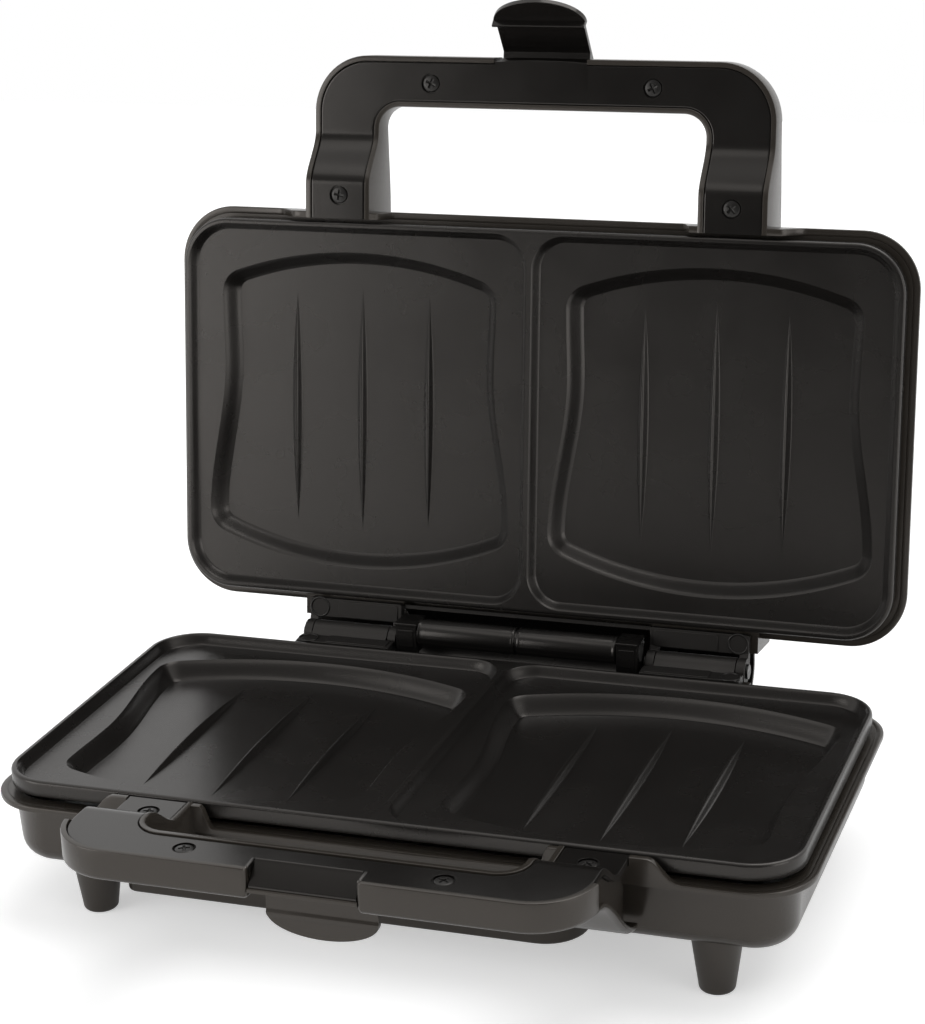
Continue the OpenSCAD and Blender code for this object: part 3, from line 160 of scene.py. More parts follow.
class Sheets:
    # gathers grids and flat fills into one list of points and faces
    def __init__(self):
        self.points = np.zeros((0, 3))
        self.faces = []

    def add(self, points):
        start = len(self.points)
        self.points = np.vstack([self.points, points])
        return start

    def grid(self, sheet, closeColumns=True, closeRows=False):
        start = self.add(sheet.reshape(-1, 3))
        self.faces += gridFaces(sheet.shape[0], sheet.shape[1], closeColumns, closeRows, start)

    def cap(self, ring):
        start = self.add(ring)
        self.faces.append(list(range(start, start + len(ring))))

    def fill(self, rings):
        # a flat region with holes, cut into triangles
        start = self.add(np.vstack(rings))
        loops = [[tuple(p) for p in ring] for ring in rings]
        self.faces += [[start + i for i in tri] for tri in tessellate_polygon(loops)]

    def closedGrid(self, sheet):
        # rings from the first to the last, with both ends filled
        self.grid(sheet)
        self.cap(sheet[0])
        self.cap(sheet[-1])


def weldedObject(name, sheets, place):
    # the gathered sheets as one mesh in its place, welded, with normals outwards
    mesh = bpy.data.meshes.new(name)
    mesh.from_pydata(place(sheets.points).tolist(), [], sheets.faces)
    work = bmesh.new()
    work.from_mesh(mesh)
    bmesh.ops.remove_doubles(work, verts=work.verts, dist=2e-6)
    bmesh.ops.dissolve_degenerate(work, edges=work.edges, dist=1e-6)
    bmesh.ops.recalc_face_normals(work, faces=work.faces)
    work.to_mesh(mesh)
    work.free()
    made = bpy.data.objects.new(name, mesh)
    bpy.context.scene.collection.objects.link(made)
    return made


def cutHoles(piece, holes, place):
    # closed sheets taken out of the piece, and the result kept as its mesh
    cutter = weldedObject("cutter", holes, place)
    cut = piece.modifiers.new("holes", "BOOLEAN")
    cut.operation = "DIFFERENCE"
    cut.solver = "EXACT"
    cut.object = cutter
    graph = bpy.context.evaluated_depsgraph_get()
    whole = piece.data
    piece.data = bpy.data.meshes.new_from_object(piece.evaluated_get(graph))
    piece.modifiers.clear()
    bpy.data.meshes.remove(whole)
    bpy.data.objects.remove(cutter)


def putPiece(name, sheets, place, body, nodes, finish, bevel=0.0, sharp=32, bevelSteps=2, holes=None):
    piece = weldedObject(name, sheets, place)
    if holes:
        cutHoles(piece, holes, place)
    mesh = piece.data
    mesh.name = name
    mesh.polygons.foreach_set("use_smooth", np.ones(len(mesh.polygons), dtype=bool))
    mesh.set_sharp_from_angle(angle=math.radians(sharp))
    mesh.materials.clear()
    mesh.materials.append(finish)
    if bevel:
        edge = piece.modifiers.new("softEdges", "BEVEL")
        edge.width = bevel * mm
        edge.segments = bevelSteps
        edge.limit_method = "ANGLE"
        edge.angle_limit = math.radians(sharp)
        edge.harden_normals = True
        edge.use_clamp_overlap = True
    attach(piece, body)
    if nodes:
        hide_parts(*nodes)
    return piece


# Camera

cameraView = {
    "azimuth": 19.48,        # degrees, from straight in front towards the left
    "elevation": 18.47,
    "roll": -2.01,
    "position": [292.515, -801.578, 367.834],
    "lens": 61.34,
    "sensorHeight": 24.0,
}


def makeCamera():
    az, el, roll = (math.radians(cameraView[k]) for k in ("azimuth", "elevation", "roll"))
    forward = np.array([-math.sin(az) * math.cos(el), math.cos(az) * math.cos(el), -math.sin(el)])
    level = np.array([math.cos(az), math.sin(az), 0])
    rise = np.cross(level, forward)
    right = level * math.cos(roll) + rise * math.sin(roll)
    up = rise * math.cos(roll) - level * math.sin(roll)
    data = bpy.data.cameras.new("camera")
    data.sensor_fit = "VERTICAL"
    data.sensor_height = cameraView["sensorHeight"]
    data.lens = cameraView["lens"]
    data.clip_end = 50
    camera = bpy.data.objects.new("camera", data)
    bpy.context.scene.collection.objects.link(camera)
    spot = setDown(np.array([cameraView["position"]]))[0]
    turn = np.column_stack([right, up, -forward, spot])
    camera.matrix_world = Matrix([*turn.tolist(), [0, 0, 0, 1]])
    bpy.context.scene.camera = camera


makeCamera()
print("camera set")


# Finishes

def newFinish(name):
    finish = bpy.data.materials.new(name)
    finish.use_nodes = True
    nodes = finish.node_tree.nodes
    return finish, nodes, finish.node_tree.links, nodes["Principled BSDF"]


def addNoise(nodes, links, scale, detail=3.0, stretch=None):
    # noise on the piece's own coordinates, in metres
    coords = nodes.new("ShaderNodeTexCoord")
    noise = nodes.new("ShaderNodeTexNoise")
    noise.inputs["Scale"].default_value = scale
    noise.inputs["Detail"].default_value = detail
    if stretch:
        mapping = nodes.new("ShaderNodeMapping")
        mapping.inputs["Scale"].default_value = stretch
        links.new(coords.outputs["Object"], mapping.inputs["Vector"])
        links.new(mapping.outputs["Vector"], noise.inputs["Vector"])
    else:
        links.new(coords.outputs["Object"], noise.inputs["Vector"])
    return noise.outputs["Fac"]


def addRange(nodes, links, source, low, high, fromLow=0.3, fromHigh=0.7):
    ranger = nodes.new("ShaderNodeMapRange")
    ranger.inputs["From Min"].default_value = fromLow
    ranger.inputs["From Max"].default_value = fromHigh
    ranger.inputs["To Min"].default_value = low
    ranger.inputs["To Max"].default_value = high
    links.new(source, ranger.inputs["Value"])
    return ranger.outputs["Result"]


def addMix(nodes, links, source, colourA, colourB):
    mixer = nodes.new("ShaderNodeMix")
    mixer.data_type = "RGBA"
    mixer.inputs[6].default_value = (*colourA, 1)
    mixer.inputs[7].default_value = (*colourB, 1)
    links.new(source, mixer.inputs[0])
    return mixer.outputs[2]


def addBump(nodes, links, source, strength, distance, before=None):
    bump = nodes.new("ShaderNodeBump")
    bump.inputs["Strength"].default_value = strength
    bump.inputs["Distance"].default_value = distance
    links.new(source, bump.inputs["Height"])
    if before:
        links.new(before, bump.inputs["Normal"])
    return bump.outputs["Normal"]


def satinFinish(settings):
    # moulded or coated surface: broad drift of tone, fine grain in gloss and height, small specks
    finish, nodes, links, shader = newFinish(settings["name"])
    drift = addRange(nodes, links, addNoise(nodes, links, settings["driftScale"], 2), 0, 1)
    grain = addNoise(nodes, links, settings["grainScale"], 4)
    tone = addMix(nodes, links, drift, settings["colour"], settings["colourTwo"])
    specks = addRange(nodes, links, grain, 0, settings["specks"], 0.62, 0.74)
    speckMix = nodes.new("ShaderNodeMix")
    speckMix.data_type = "RGBA"
    speckMix.inputs[7].default_value = (*settings["speckColour"], 1)
    links.new(tone, speckMix.inputs[6])
    links.new(specks, speckMix.inputs[0])
    links.new(speckMix.outputs[2], shader.inputs["Base Color"])
    smudge = addNoise(nodes, links, settings["smudgeScale"], 5)
    low, high = settings["roughness"]
    links.new(addRange(nodes, links, smudge, low, high), shader.inputs["Roughness"])
    relief = addBump(nodes, links, grain, settings["grainBump"], 0.0002)
    wave = addNoise(nodes, links, settings["waveScale"], 2)
    links.new(addBump(nodes, links, wave, settings["waveBump"], 0.0008, relief), shader.inputs["Normal"])
    shader.inputs["Metallic"].default_value = settings["metallic"]
    shader.inputs["Specular IOR Level"].default_value = settings["specular"]
    shader.inputs["Specular Tint"].default_value = (1.0, 0.94, 0.885, 1)
    shader.inputs["Coat Weight"].default_value = settings["coat"]
    shader.inputs["Coat Roughness"].default_value = settings["coatRoughness"]
    return finish


def satinSettings(name, colour, colourTwo, **changes):
    settings = {
        "name": name, "colour": colour, "colourTwo": colourTwo, "speckColour": colourTwo,
        "specks": 0.0, "driftScale": 9.0, "grainScale": 1400.0, "smudgeScale": 35.0,
        "waveScale": 60.0, "waveBump": 0.02, "grainBump": 0.12, "roughness": (0.28, 0.36),
        "metallic": 0.0, "specular": 0.5, "coat": 0.0, "coatRoughness": 0.2,
    }
    settings.update(changes)
    return settings


def brushedFinish(name, colour, roughness, stretch, metallic=1.0):
    # metal with fine lines drawn out along one way
    finish, nodes, links, shader = newFinish(name)
    lines = addNoise(nodes, links, 900.0, 3, stretch)
    links.new(addMix(nodes, links, addRange(nodes, links, lines, 0, 1), colour,
                     tuple(0.7 * c for c in colour)), shader.inputs["Base Color"])
    links.new(addRange(nodes, links, lines, roughness, roughness + 0.15), shader.inputs["Roughness"])
    links.new(addBump(nodes, links, lines, 0.1, 0.0001), shader.inputs["Normal"])
    shader.inputs["Metallic"].default_value = metallic
    return finish


def lensFinish(name, colour):
    # tinted clear plastic with faint ribs inside
    finish, nodes, links, shader = newFinish(name)
    ribs = addNoise(nodes, links, 600.0, 1)
    links.new(addMix(nodes, links, ribs, colour, tuple(0.6 * c for c in colour)), shader.inputs["Base Color"])
    links.new(addRange(nodes, links, ribs, 0.08, 0.16), shader.inputs["Roughness"])
    shader.inputs["Transmission Weight"].default_value = 0.35
    return finish


finishes = {
    "housing_bronze": satinFinish(satinSettings(
        "bronzeMoulding", (0.0285, 0.0240, 0.0196), (0.0240, 0.0205, 0.0168), speckColour=(0.060, 0.050, 0.041),
        specks=0.25, grainScale=2600.0, roughness=(0.20, 0.27))),
    "foot_bronze": satinFinish(satinSettings(
        "footPlastic", (0.031, 0.0268, 0.0228), (0.026, 0.0226, 0.0192), roughness=(0.30, 0.40))),
    "handle_black": satinFinish(satinSettings(
        "handlePlastic", (0.0062, 0.0056, 0.0051), (0.0050, 0.0045, 0.0041), roughness=(0.17, 0.23),
        grainBump=0.07)),
    "hinge_black": satinFinish(satinSettings(
        "hingeMoulding", (0.0060, 0.0056, 0.0053), (0.0050, 0.0047, 0.0045), roughness=(0.22, 0.30))),
    "hinge_leaf": satinFinish(satinSettings(
        "hingeLeafSkin", (0.0058, 0.0054, 0.0051), (0.0046, 0.0043, 0.0041), roughness=(0.46, 0.58))),
    "plate_coating": satinFinish(satinSettings(
        "nonStickCoating", (0.0096, 0.0087, 0.0081), (0.0078, 0.0071, 0.0066), specks=0.4,
        speckColour=(0.021, 0.020, 0.019), grainScale=2200.0, roughness=(0.23, 0.30),
        grainBump=0.18, waveScale=240.0, waveBump=0.02)),
    "screw_black": brushedFinish("blackOxide", (0.035, 0.033, 0.031), 0.26, None, 0.7),
    "pin_steel": brushedFinish("pinOxide", (0.09, 0.088, 0.085), 0.3, (1, 0.05, 1)),
    "shield_steel": brushedFinish("shieldSheet", (0.60, 0.61, 0.62), 0.3, (0.03, 1, 1)),
    "element_steel": brushedFinish("elementTube", (0.38, 0.33, 0.29), 0.35, (0.1, 1, 1)),
    "ceramic_cream": satinFinish(satinSettings(
        "ceramic", (0.66, 0.62, 0.54), (0.60, 0.56, 0.48), roughness=(0.5, 0.65))),
    "wire_sleeve": satinFinish(satinSettings(
        "glassBraid", (0.60, 0.57, 0.50), (0.50, 0.47, 0.41), roughness=(0.6, 0.8), grainBump=0.6)),
    "gland_rubber": satinFinish(satinSettings(
        "rubber", (0.012, 0.012, 0.012), (0.018, 0.018, 0.018), roughness=(0.55, 0.7))),
    "lamp_red": lensFinish("redLens", (0.55, 0.03, 0.02)),
    "lamp_green": lensFinish("greenLens", (0.04, 0.35, 0.10)),
}
slotOf = {part["node"]: part["material_slot"] for part in frame["record"]["subparts"]}
for nodeName, node in frame["nodes"].items():
    node.data.materials.clear()
    node.data.materials.append(finishes[slotOf[nodeName]])
print("finishes made:", len(finishes))


# Cooking plates

plate = {
    "edgeHeight": 6.0,       # of the outside edge
    "cornerRadius": 18.45,
    "crest": 1.8,            # flat ring round the outside
    "divider": 0.9,          # half the flat between the cells
    "band": 2.6,             # slope from the crest to the land
    "land": 4.0,             # depth of the land
    "dividerRadius": 13.0,
    "pocket": 6.4,           # depth of a pocket under the land
    "slope": 5.0,            # width of a pocket's wall
    "frontWidth": 56.3, "waistWidth": 55.5, "rearWidth": 62.3,
    "frontReach": 61.6, "rearReach": 62.3, "waist": -16.0,
    "arcRadius": 150.0, "pocketRadius": 9.5,
    "ridgeStep": 27.3, "ridgeLength": 95.8, "ridgeShorter": 4.8, "ridgeWidth": 4.3, "ridgeHeight": 2.6,
    "wall": 2.0,
}


def pocketLoop(p):
    # waisted outline: flat arcs in front and behind, four corner arcs, and sides whose half
    # width runs by the smooth cubic from the front width to the waist and on to the rear width
    big, q = p["arcRadius"], p["pocketRadius"]
    frontC, rearC = big - p["frontReach"], p["rearReach"] - big
    frontX, rearX = p["frontWidth"] - q, p["rearWidth"] - q
    frontY = frontC - math.sqrt((big - q) ** 2 - frontX ** 2)
    rearY = rearC + math.sqrt((big - q) ** 2 - rearX ** 2)
    frontA, rearA = math.acos(frontX / (big - q)), math.acos(rearX / (big - q))

    def arcPart(cx, cy, r, a0, a1, n):
        a = np.linspace(a0, a1, n)
        d = np.stack([np.cos(a), np.sin(a)], axis=1)
        return np.array([cx, cy]) + r * d, d

    def side(sign, y0, y1, n):
        y = np.linspace(y0, y1, n)[1:-1]

        def width(v):
            rear = p["waistWidth"] + (p["rearWidth"] - p["waistWidth"]) * smooth((v - p["waist"]) / (rearY - p["waist"]))
            front = p["waistWidth"] + (p["frontWidth"] - p["waistWidth"]) * smooth((p["waist"] - v) / (p["waist"] - frontY))
            return np.where(v > p["waist"], rear, front)

        tilt = (width(y + 0.01) - width(y - 0.01)) / 0.02
        normal = np.stack([np.full_like(y, sign), -tilt], axis=1)
        return np.stack([sign * width(y), y], axis=1), normal / np.linalg.norm(normal, axis=1)[:, None]

    parts = [
        side(1, frontY, rearY, 40),
        arcPart(rearX, rearY, q, 0, rearA, 12),
        arcPart(0, rearC, big, rearA + 0.02, math.pi - rearA - 0.02, 34),
        arcPart(-rearX, rearY, q, math.pi - rearA, math.pi, 12),
        side(-1, rearY, frontY, 40),
        arcPart(-frontX, frontY, q, math.pi, math.pi + frontA, 12),
        arcPart(0, frontC, big, math.pi + frontA + 0.02, 2 * math.pi - frontA - 0.02, 34),
        arcPart(frontX, frontY, q, 2 * math.pi - frontA, 2 * math.pi, 12),
    ]
    return np.vstack([a for a, b in parts]), np.vstack([b for a, b in parts])


def slopeRows(depth, width, edge, steps=9):
    # insets and drops of a wall that leaves and meets the flats in soft curves
    t = np.linspace(0, 1, steps)
    return (np.concatenate([[-edge], width * t, [width + edge]]),
            np.concatenate([[0], depth * (0.45 * t + 0.55 * smooth(t)), [depth]]))


def ridgeSheet(x0, length, p, floorZ):
    # a lens with pointed ends: half width and height fall off by 1 - (t / 0.985)^2 along it, the
    # height across it follows the cosine hill, and a narrow flat collar runs round it
    t = np.linspace(-1, 1, 41)[:, None]
    s = np.concatenate([[-1], np.linspace(-1, 1, 17), [1]])[None, :]
    collar = np.concatenate([[-0.25], np.zeros(17), [0.25]])[None, :]
    swell = np.clip(1 - (t / 0.985) ** 2, 0, None)
    x = x0 + p["ridgeWidth"] / 2 * swell * s + collar * np.sqrt(1 - t ** 2)
    y = np.repeat(t * length / 2, s.size, axis=1)
    hill = (0.5 * (1 + np.cos(math.pi * s))) ** 0.8
    z = floorZ + p["ridgeHeight"] * swell * hill
    return np.stack([x, y, z], axis=-1)


def plateSheets(p):
    sheets = Sheets()
    outer = roundedLoop(plateX, plateY, [p["cornerRadius"]] * 4, 20, [np.linspace(0, 1, 12)[1:-1]] * 4)
    edge = ringSheet(outer, [0.6, 0.15, 0, 0, 0.12, 0.4, 0.8, 1.15],
                     [-p["edgeHeight"], -p["edgeHeight"] + 0.15, -p["edgeHeight"] + 0.6, -halfGap - 1.1,
                      -halfGap - 0.6, -halfGap - 0.22, -halfGap - 0.04, -halfGap])
    sheets.grid(edge)
    cellHalf = (plateX - p["crest"] - p["divider"]) / 2
    cellMid = (plateX - p["crest"] + p["divider"]) / 2
    cellOut = p["cornerRadius"] - p["crest"]
    cell = roundedLoop(cellHalf, plateY - p["crest"], [cellOut, p["dividerRadius"], p["dividerRadius"], cellOut],
                       16, [np.linspace(0, 1, 12)[1:-1]] * 4)
    pocket = pocketLoop(p)
    floorZ = -p["land"] - p["pocket"]
    crestHoles, underHoles = [], []
    for s in (-1, 1):
        def shifted(sheet):
            return sheet * np.array([s, 1, 1]) + np.array([s * cellMid, 0, 0])
        bandIn, bandDrop = slopeRows(p["land"] - halfGap, p["band"], 0.25)
        band = shifted(ringSheet(cell, bandIn, -halfGap - bandDrop))
        sheets.grid(band)
        crestHoles.append(band[0])
        wallIn, wallDrop = slopeRows(p["pocket"], p["slope"], 0.35)
        wall = shifted(ringSheet(pocket, wallIn, -p["land"] - wallDrop))
        sheets.grid(wall)
        sheets.fill([band[-1], wall[0]])
        ridges = [shifted(ridgeSheet(k * p["ridgeStep"], p["ridgeLength"] - abs(k) * p["ridgeShorter"], p, floorZ))
                  for k in (-1, 0, 1)]
        rims = []
        for ridge in ridges:
            sheets.grid(ridge, closeColumns=False)
            rims.append(np.vstack([ridge[:, 0], ridge[-2:0:-1, -1]]))
        sheets.fill([wall[-1]] + rims)
        pan = shifted(ringSheet(pocket, [-p["wall"], -p["wall"], p["slope"] - p["wall"]],
                                [-p["edgeHeight"], -p["land"] - 2.5, floorZ - p["wall"]]))
        sheets.grid(pan)
        sheets.cap(pan[-1])
        underHoles.append(pan[0])
    sheets.fill([edge[-1]] + crestHoles)
    sheets.fill([edge[0]] + underHoles)
    return sheets


coating = finishes["plate_coating"]
putPiece("lowerPlateCasting", plateSheets(plate), setDown, "base", ["lower_plate"], coating)
putPiece("upperPlateCasting", plateSheets(plate), turnOver, "lid", ["upper_plate"], coating)
print("plates made")


# Housings

housing = {
    "rimRadius": 21.4,
    "rimTop": 8.2,           # depth of the rim's top under the plates' crest
    "rimThick": 2.0,
    "rimOut": 5.0,
    "bottom": 33.5,
    "draft": 4.5,
    "edgeRadius": 8.0,
    "wall": 2.5,
    "earHeight": 7.8,
    "earInside": 57.0, "earOutside": 94.0, "earFall": 11.0,
    "panelInside": 66.0, "panelOutside": 88.0, "panelCut": 2.9,
}


def earRise(x, h):
    # height of the rim's raised ear: a flat top between its inner and outer end, a steep inner
    # side, a drawn-out outer side, and a sunk seat where the handle's root lies
    a = np.abs(x)
    rise = smooth((a - h["earInside"]) / 4) * (1 - smooth((a - h["earOutside"]) / h["earFall"])) ** 1.4
    seat = (a > h["panelInside"]) & (a < h["panelOutside"])
    return h["earHeight"] * rise - np.where(seat, h["panelCut"], 0)


def housingSheets(h):
    sheets = Sheets()
    frontCuts = np.array([-105, -103, -101, -99, -97, -95.5, -94, -92, -90, -88.01, -87.99, -80, -72, -66.01, -65.99,
                          -63, -61, -60, -59, -58, -57, -40, -20, 0])
    frontCuts = np.concatenate([frontCuts, -frontCuts[-2::-1]])
    run = rimX - h["rimRadius"]
    shares = (frontCuts + run) / (2 * run)
    even = np.linspace(0, 1, 14)[1:-1]
    loop = roundedLoop(rimX, rimY, [h["rimRadius"]] * 4, 20, [even, even, shares, even])
    x = loop[0][:, 0]
    front = loop[1][:, 1] < -0.99
    ear = np.where(front, earRise(x, h), 0)
    low = -h["rimTop"] - h["rimThick"]
    edgeTop = h["bottom"] - h["edgeRadius"]
    wallIn = h["rimOut"] + math.tan(math.radians(h["draft"])) * (edgeTop + low)
    turn = np.radians(np.linspace(90, 0, 9))
    insets = [*(wallIn + h["edgeRadius"] * (1 - np.cos(turn))), h["rimOut"] + 0.25, h["rimOut"] - 0.05,
              h["rimOut"] - 0.8, 0.5, 0.12, 0.0, 0.0, 0.12, 0.5, 2.1, 2.5, 2.6, 2.6]
    heights = [*(-edgeTop - h["edgeRadius"] * np.sin(turn)), low - 0.9, low - 0.25, low, low, low + 0.14, low + 0.5]
    top = -h["rimTop"]
    heights += [top - 0.5 + ear, top - 0.12 + ear, top + ear, top + ear, top - 0.12 + ear, top - 0.5 + ear, top - 0.01]
    innerR = h["edgeRadius"] - h["wall"]
    back = np.radians(np.linspace(0, 90, 7))
    insets += [h["rimOut"] + h["wall"] - 0.5, h["rimOut"] + h["wall"]]
    heights += [top - 0.01, top - 0.5]
    insets += [*(wallIn + h["wall"] + innerR * (1 - np.cos(back)))]
    heights += [*(-edgeTop - innerR * np.sin(back))]
    sheets.closedGrid(ringSheet(loop, insets, heights))
    return sheets


def boxSheets(sheets, low, high):
    # a box between two corners
    square = np.array([[0, 0], [1, 0], [1, 1], [0, 1]])
    low, high = np.array(low, float), np.array(high, float)
    flat = low[:2] + square * (high - low)[:2]
    rows = np.array([np.column_stack([flat, np.full(4, z)]) for z in (low[2], high[2])])
    sheets.closedGrid(rows)


bronze = finishes["housing_bronze"]
for name, place, body, node in (("baseShell", setDown, "base", "base_housing"),
                                ("lidShell", turnOver, "lid", "lid_housing")):
    shell = housingSheets(housing)
    for side in (-1, 1):
        ends = sorted((side * 50.0, side * 91.0))
        boxSheets(shell, [ends[0], 70.0, -24.0], [ends[1], 81.97, -3.5])
    putPiece(name, shell, place, body, [node], bronze, bevel=0.35)
print("housings made")


# Handles

handle = {
    "outerRadius": 21.5,
    "armWidth": 26.0,
    "barDepth": 19.0,
    "gripRadius": 8.5,
    "stepRear": 87.5, "stepFront": 107.3,
    "barJoint": 10.3,        # height of the joint at the bar
    "barThick": 11.2,
    "rootLow": 27.0,         # depth of a lower arm at its root
    "rootHigh": 26.0,        # height of an upper arm at its root
    "rootEnd": 74.65,
    "lip": 2.0,
    "edge": 2.0,             # radius of the long outer edges
    "coverSink": 0.5,
    "coverGap": 0.25,
    "coverThick": 2.4,
    "notch": 18.3, "notchDepth": 7.2, "ledge": 3.2,
    "slot": 18.1, "slotDepth": 6.4,
    "sideGap": 115.15,
    "screwX": 43.3, "screwBack": 10.0,
    "rootScrewIn": 13.5, "rootScrewOut": 6.5,
    "sink": 3.75, "sinkDepth": 1.0,
    "catch": 1.5, "catchRoom": 3.6,
    "endSoft": 1.5,          # rounding of the bar's ends at the notch
}


def handleStations(h):
    # pairs of points and normals along the outside and the inside of the U, left root to middle:
    # equal y along the arm, equal shares of length round the corner, then equal x along the bar
    innerX = handleX - h["armWidth"]
    barRear = handleY - h["barDepth"]
    armY = np.concatenate([[-h["rootEnd"], -77.2, -82, -87.3], np.linspace(-87.5, -h["stepFront"], 15),
                           [-barRear + h["gripRadius"]]])
    n = len(armY)
    outer = [np.stack([np.full(n, -handleX), armY], axis=1)]
    outerN = [np.tile([-1.0, 0.0], (n, 1))]
    inner = [np.stack([np.full(n, -innerX), armY], axis=1)]
    innerN = [np.tile([1.0, 0.0], (n, 1))]
    steps = 18
    share = np.linspace(0, 1, steps + 1)[1:]
    straight = handleY - h["outerRadius"] - (barRear - h["gripRadius"])
    arcLength = h["outerRadius"] * math.pi / 2
    along = share * (straight + arcLength)
    turned = np.clip((along - straight) / h["outerRadius"], 0, math.pi / 2)
    cx, cy = -handleX + h["outerRadius"], -handleY + h["outerRadius"]
    n2 = np.stack([-np.cos(turned), -np.sin(turned)], axis=1)
    corner = np.array([cx, cy]) + h["outerRadius"] * n2
    before = along < straight
    corner[before] = np.stack([np.full(before.sum(), -handleX), armY[-1] - along[before]], axis=1)
    outer.append(corner)
    outerN.append(n2)
    a = share * math.pi / 2
    n3 = np.stack([-np.cos(a), -np.sin(a)], axis=1)
    inner.append(np.array([-innerX + h["gripRadius"], -barRear + h["gripRadius"]]) + h["gripRadius"] * n3)
    innerN.append(-n3)
    startOut, startIn = handleX - h["outerRadius"], innerX - h["gripRadius"]
    notchEnd = -h["notch"] - h["endSoft"] * (1 - np.sin(np.radians(np.linspace(0, 90, 7))))
    barX = np.array([-62, -56, -50, -43.3, -36, -28, *notchEnd, -h["notch"], -h["slot"], -h["slot"], -12, -6, 0])
    m = len(barX)
    blendIn = np.where(barX < -36, -36 + (barX + 36) * (startIn - 36) / (startOut - 36), barX)
    outer.append(np.stack([barX, np.full(m, -handleY)], axis=1))
    outerN.append(np.tile([0.0, -1.0], (m, 1)))
    inner.append(np.stack([blendIn, np.full(m, -barRear)], axis=1))
    innerN.append(np.tile([0.0, 1.0], (m, 1)))
    half = [np.vstack(v) for v in (outer, outerN, inner, innerN)]
    flip = np.array([-1.0, 1.0])
    return [np.vstack([v, (v * flip)[-2::-1]]) for v in half]


stations = handleStations(handle)


def jointHeight(y, h, root, bar):
    # the joint's level: low at the root, high at the bar, the smooth cubic between
    return root + (bar - root) * smooth((-y - h["stepRear"]) / (h["stepFront"] - h["stepRear"]))


def armHeight(y, h, bar, root):
    # the far side of an arm, from the bar's level to the root's
    barRear = handleY - h["barDepth"]
    return bar + (root - bar) * smooth((y + barRear) / (barRear - h["rootEnd"]))


def within(x, limit):
    # stations inside a cut: the second of two stations at the same place belongs to it
    inside = np.abs(x) < limit - 0.001
    same = np.isclose(np.abs(x), limit)
    order = np.cumsum(same) * same
    return inside | (order == 2) | (order == 3)


def sectionSheet(rows):
    # rows of (side, inset, height) become a closed strip along the stations
    outer, outerN, inner, innerN = stations
    strip = []
    for side, depth, height in rows:
        base, normal = (outer, outerN) if side == "out" else (inner, innerN)
        flat = base - np.broadcast_to(depth, len(base))[:, None] * normal
        strip.append(np.column_stack([flat, height(flat[:, 1]) if callable(height) else height]))
    return np.array(strip).transpose(1, 0, 2)


def closeStrip(sheets, strip):
    sheets.grid(strip, closeColumns=True)
    sheets.cap(strip[0])
    sheets.cap(strip[-1])


def lowerShellSheets(h):
    sheets = Sheets()
    x = stations[0][:, 0]
    y = stations[0][:, 1]
    inNotch = within(x, h["notch"])
    joint = lambda v: jointHeight(v, h, -halfGap, h["barJoint"] - halfGap)
    low = lambda v: armHeight(v, h, h["barJoint"] - halfGap - h["barThick"] + 0.4, -h["rootLow"])
    lipTop = lambda v: np.where(inNotch, h["ledge"], joint(v))
    gap = y > -h["sideGap"]
    cutIn = np.where(gap, 4.7, 0)
    near = np.clip((h["notch"] + h["endSoft"] - np.abs(x)) / h["endSoft"], 0, 1)
    soft = np.where(inNotch, 0, h["endSoft"] * (1 - np.sqrt(1 - near ** 2)))
    lipIn = np.where(inNotch, 0.6, h["lip"])
    bed = lambda v: np.where(inNotch, h["ledge"] - 0.9, joint(v) - 3.2)
    r = h["edge"]
    rise = lambda v: np.where(gap, np.minimum(low(v) + r + 0.6, joint(v) - 3.2), low(v) + r)
    catch = h["ledge"] - h["catch"]
    wallIn = np.where(inNotch, 0.4, cutIn + soft)
    underIn = np.where(inNotch, h["catchRoom"], soft)
    rows = [
        ("out", np.where(inNotch, 3.9, h["lip"] + cutIn), bed),
        ("out", np.where(inNotch, 3.9, h["lip"] + cutIn), lambda v: np.where(inNotch, h["ledge"], np.where(gap, joint(v) - 3.1, joint(v) - 0.15))),
        ("out", np.where(inNotch, 3.75, lipIn + cutIn - 0.15), lambda v: np.where(gap, joint(v) - 3.05, lipTop(v))),
        ("out", np.where(inNotch, 0.85, 0.45 + cutIn + 0.7 * soft), lambda v: np.where(gap, joint(v) - 3.0, lipTop(v) - 0.3 * soft)),
        ("out", 0.12 + wallIn, lambda v: np.where(gap, joint(v) - 3.1, lipTop(v) - 0.12 - soft)),
        ("out", wallIn, lambda v: np.where(gap, joint(v) - 3.2, lipTop(v) - 0.45 - soft)),
        ("out", wallIn, lambda v: np.where(inNotch, catch + 0.1, rise(v))),
        ("out", underIn, lambda v: np.where(inNotch, catch, rise(v))),
    ]
    for a in np.radians(np.linspace(0, 90, 6))[1:]:
        rows.append(("out", r * (1 - math.cos(a)) + underIn,
                     (lambda s: lambda v: low(v) + r - r * s + soft)(math.sin(a))))
    for a in np.radians(np.linspace(90, 0, 6)):
        rows.append(("in", r * (1 - math.cos(a)), (lambda s: lambda v: low(v) + r - r * s)(math.sin(a))))
    rows += [
        ("in", 0.0, lambda v: joint(v) - 0.45),
        ("in", 0.12, lambda v: joint(v) - 0.12),
        ("in", 0.45, joint),
        ("in", h["lip"] - 0.15, joint),
        ("in", h["lip"], lambda v: joint(v) - 0.15),
        ("in", h["lip"], lambda v: joint(v) - 3.2),
    ]
    closeStrip(sheets, sectionSheet(rows))
    return sheets


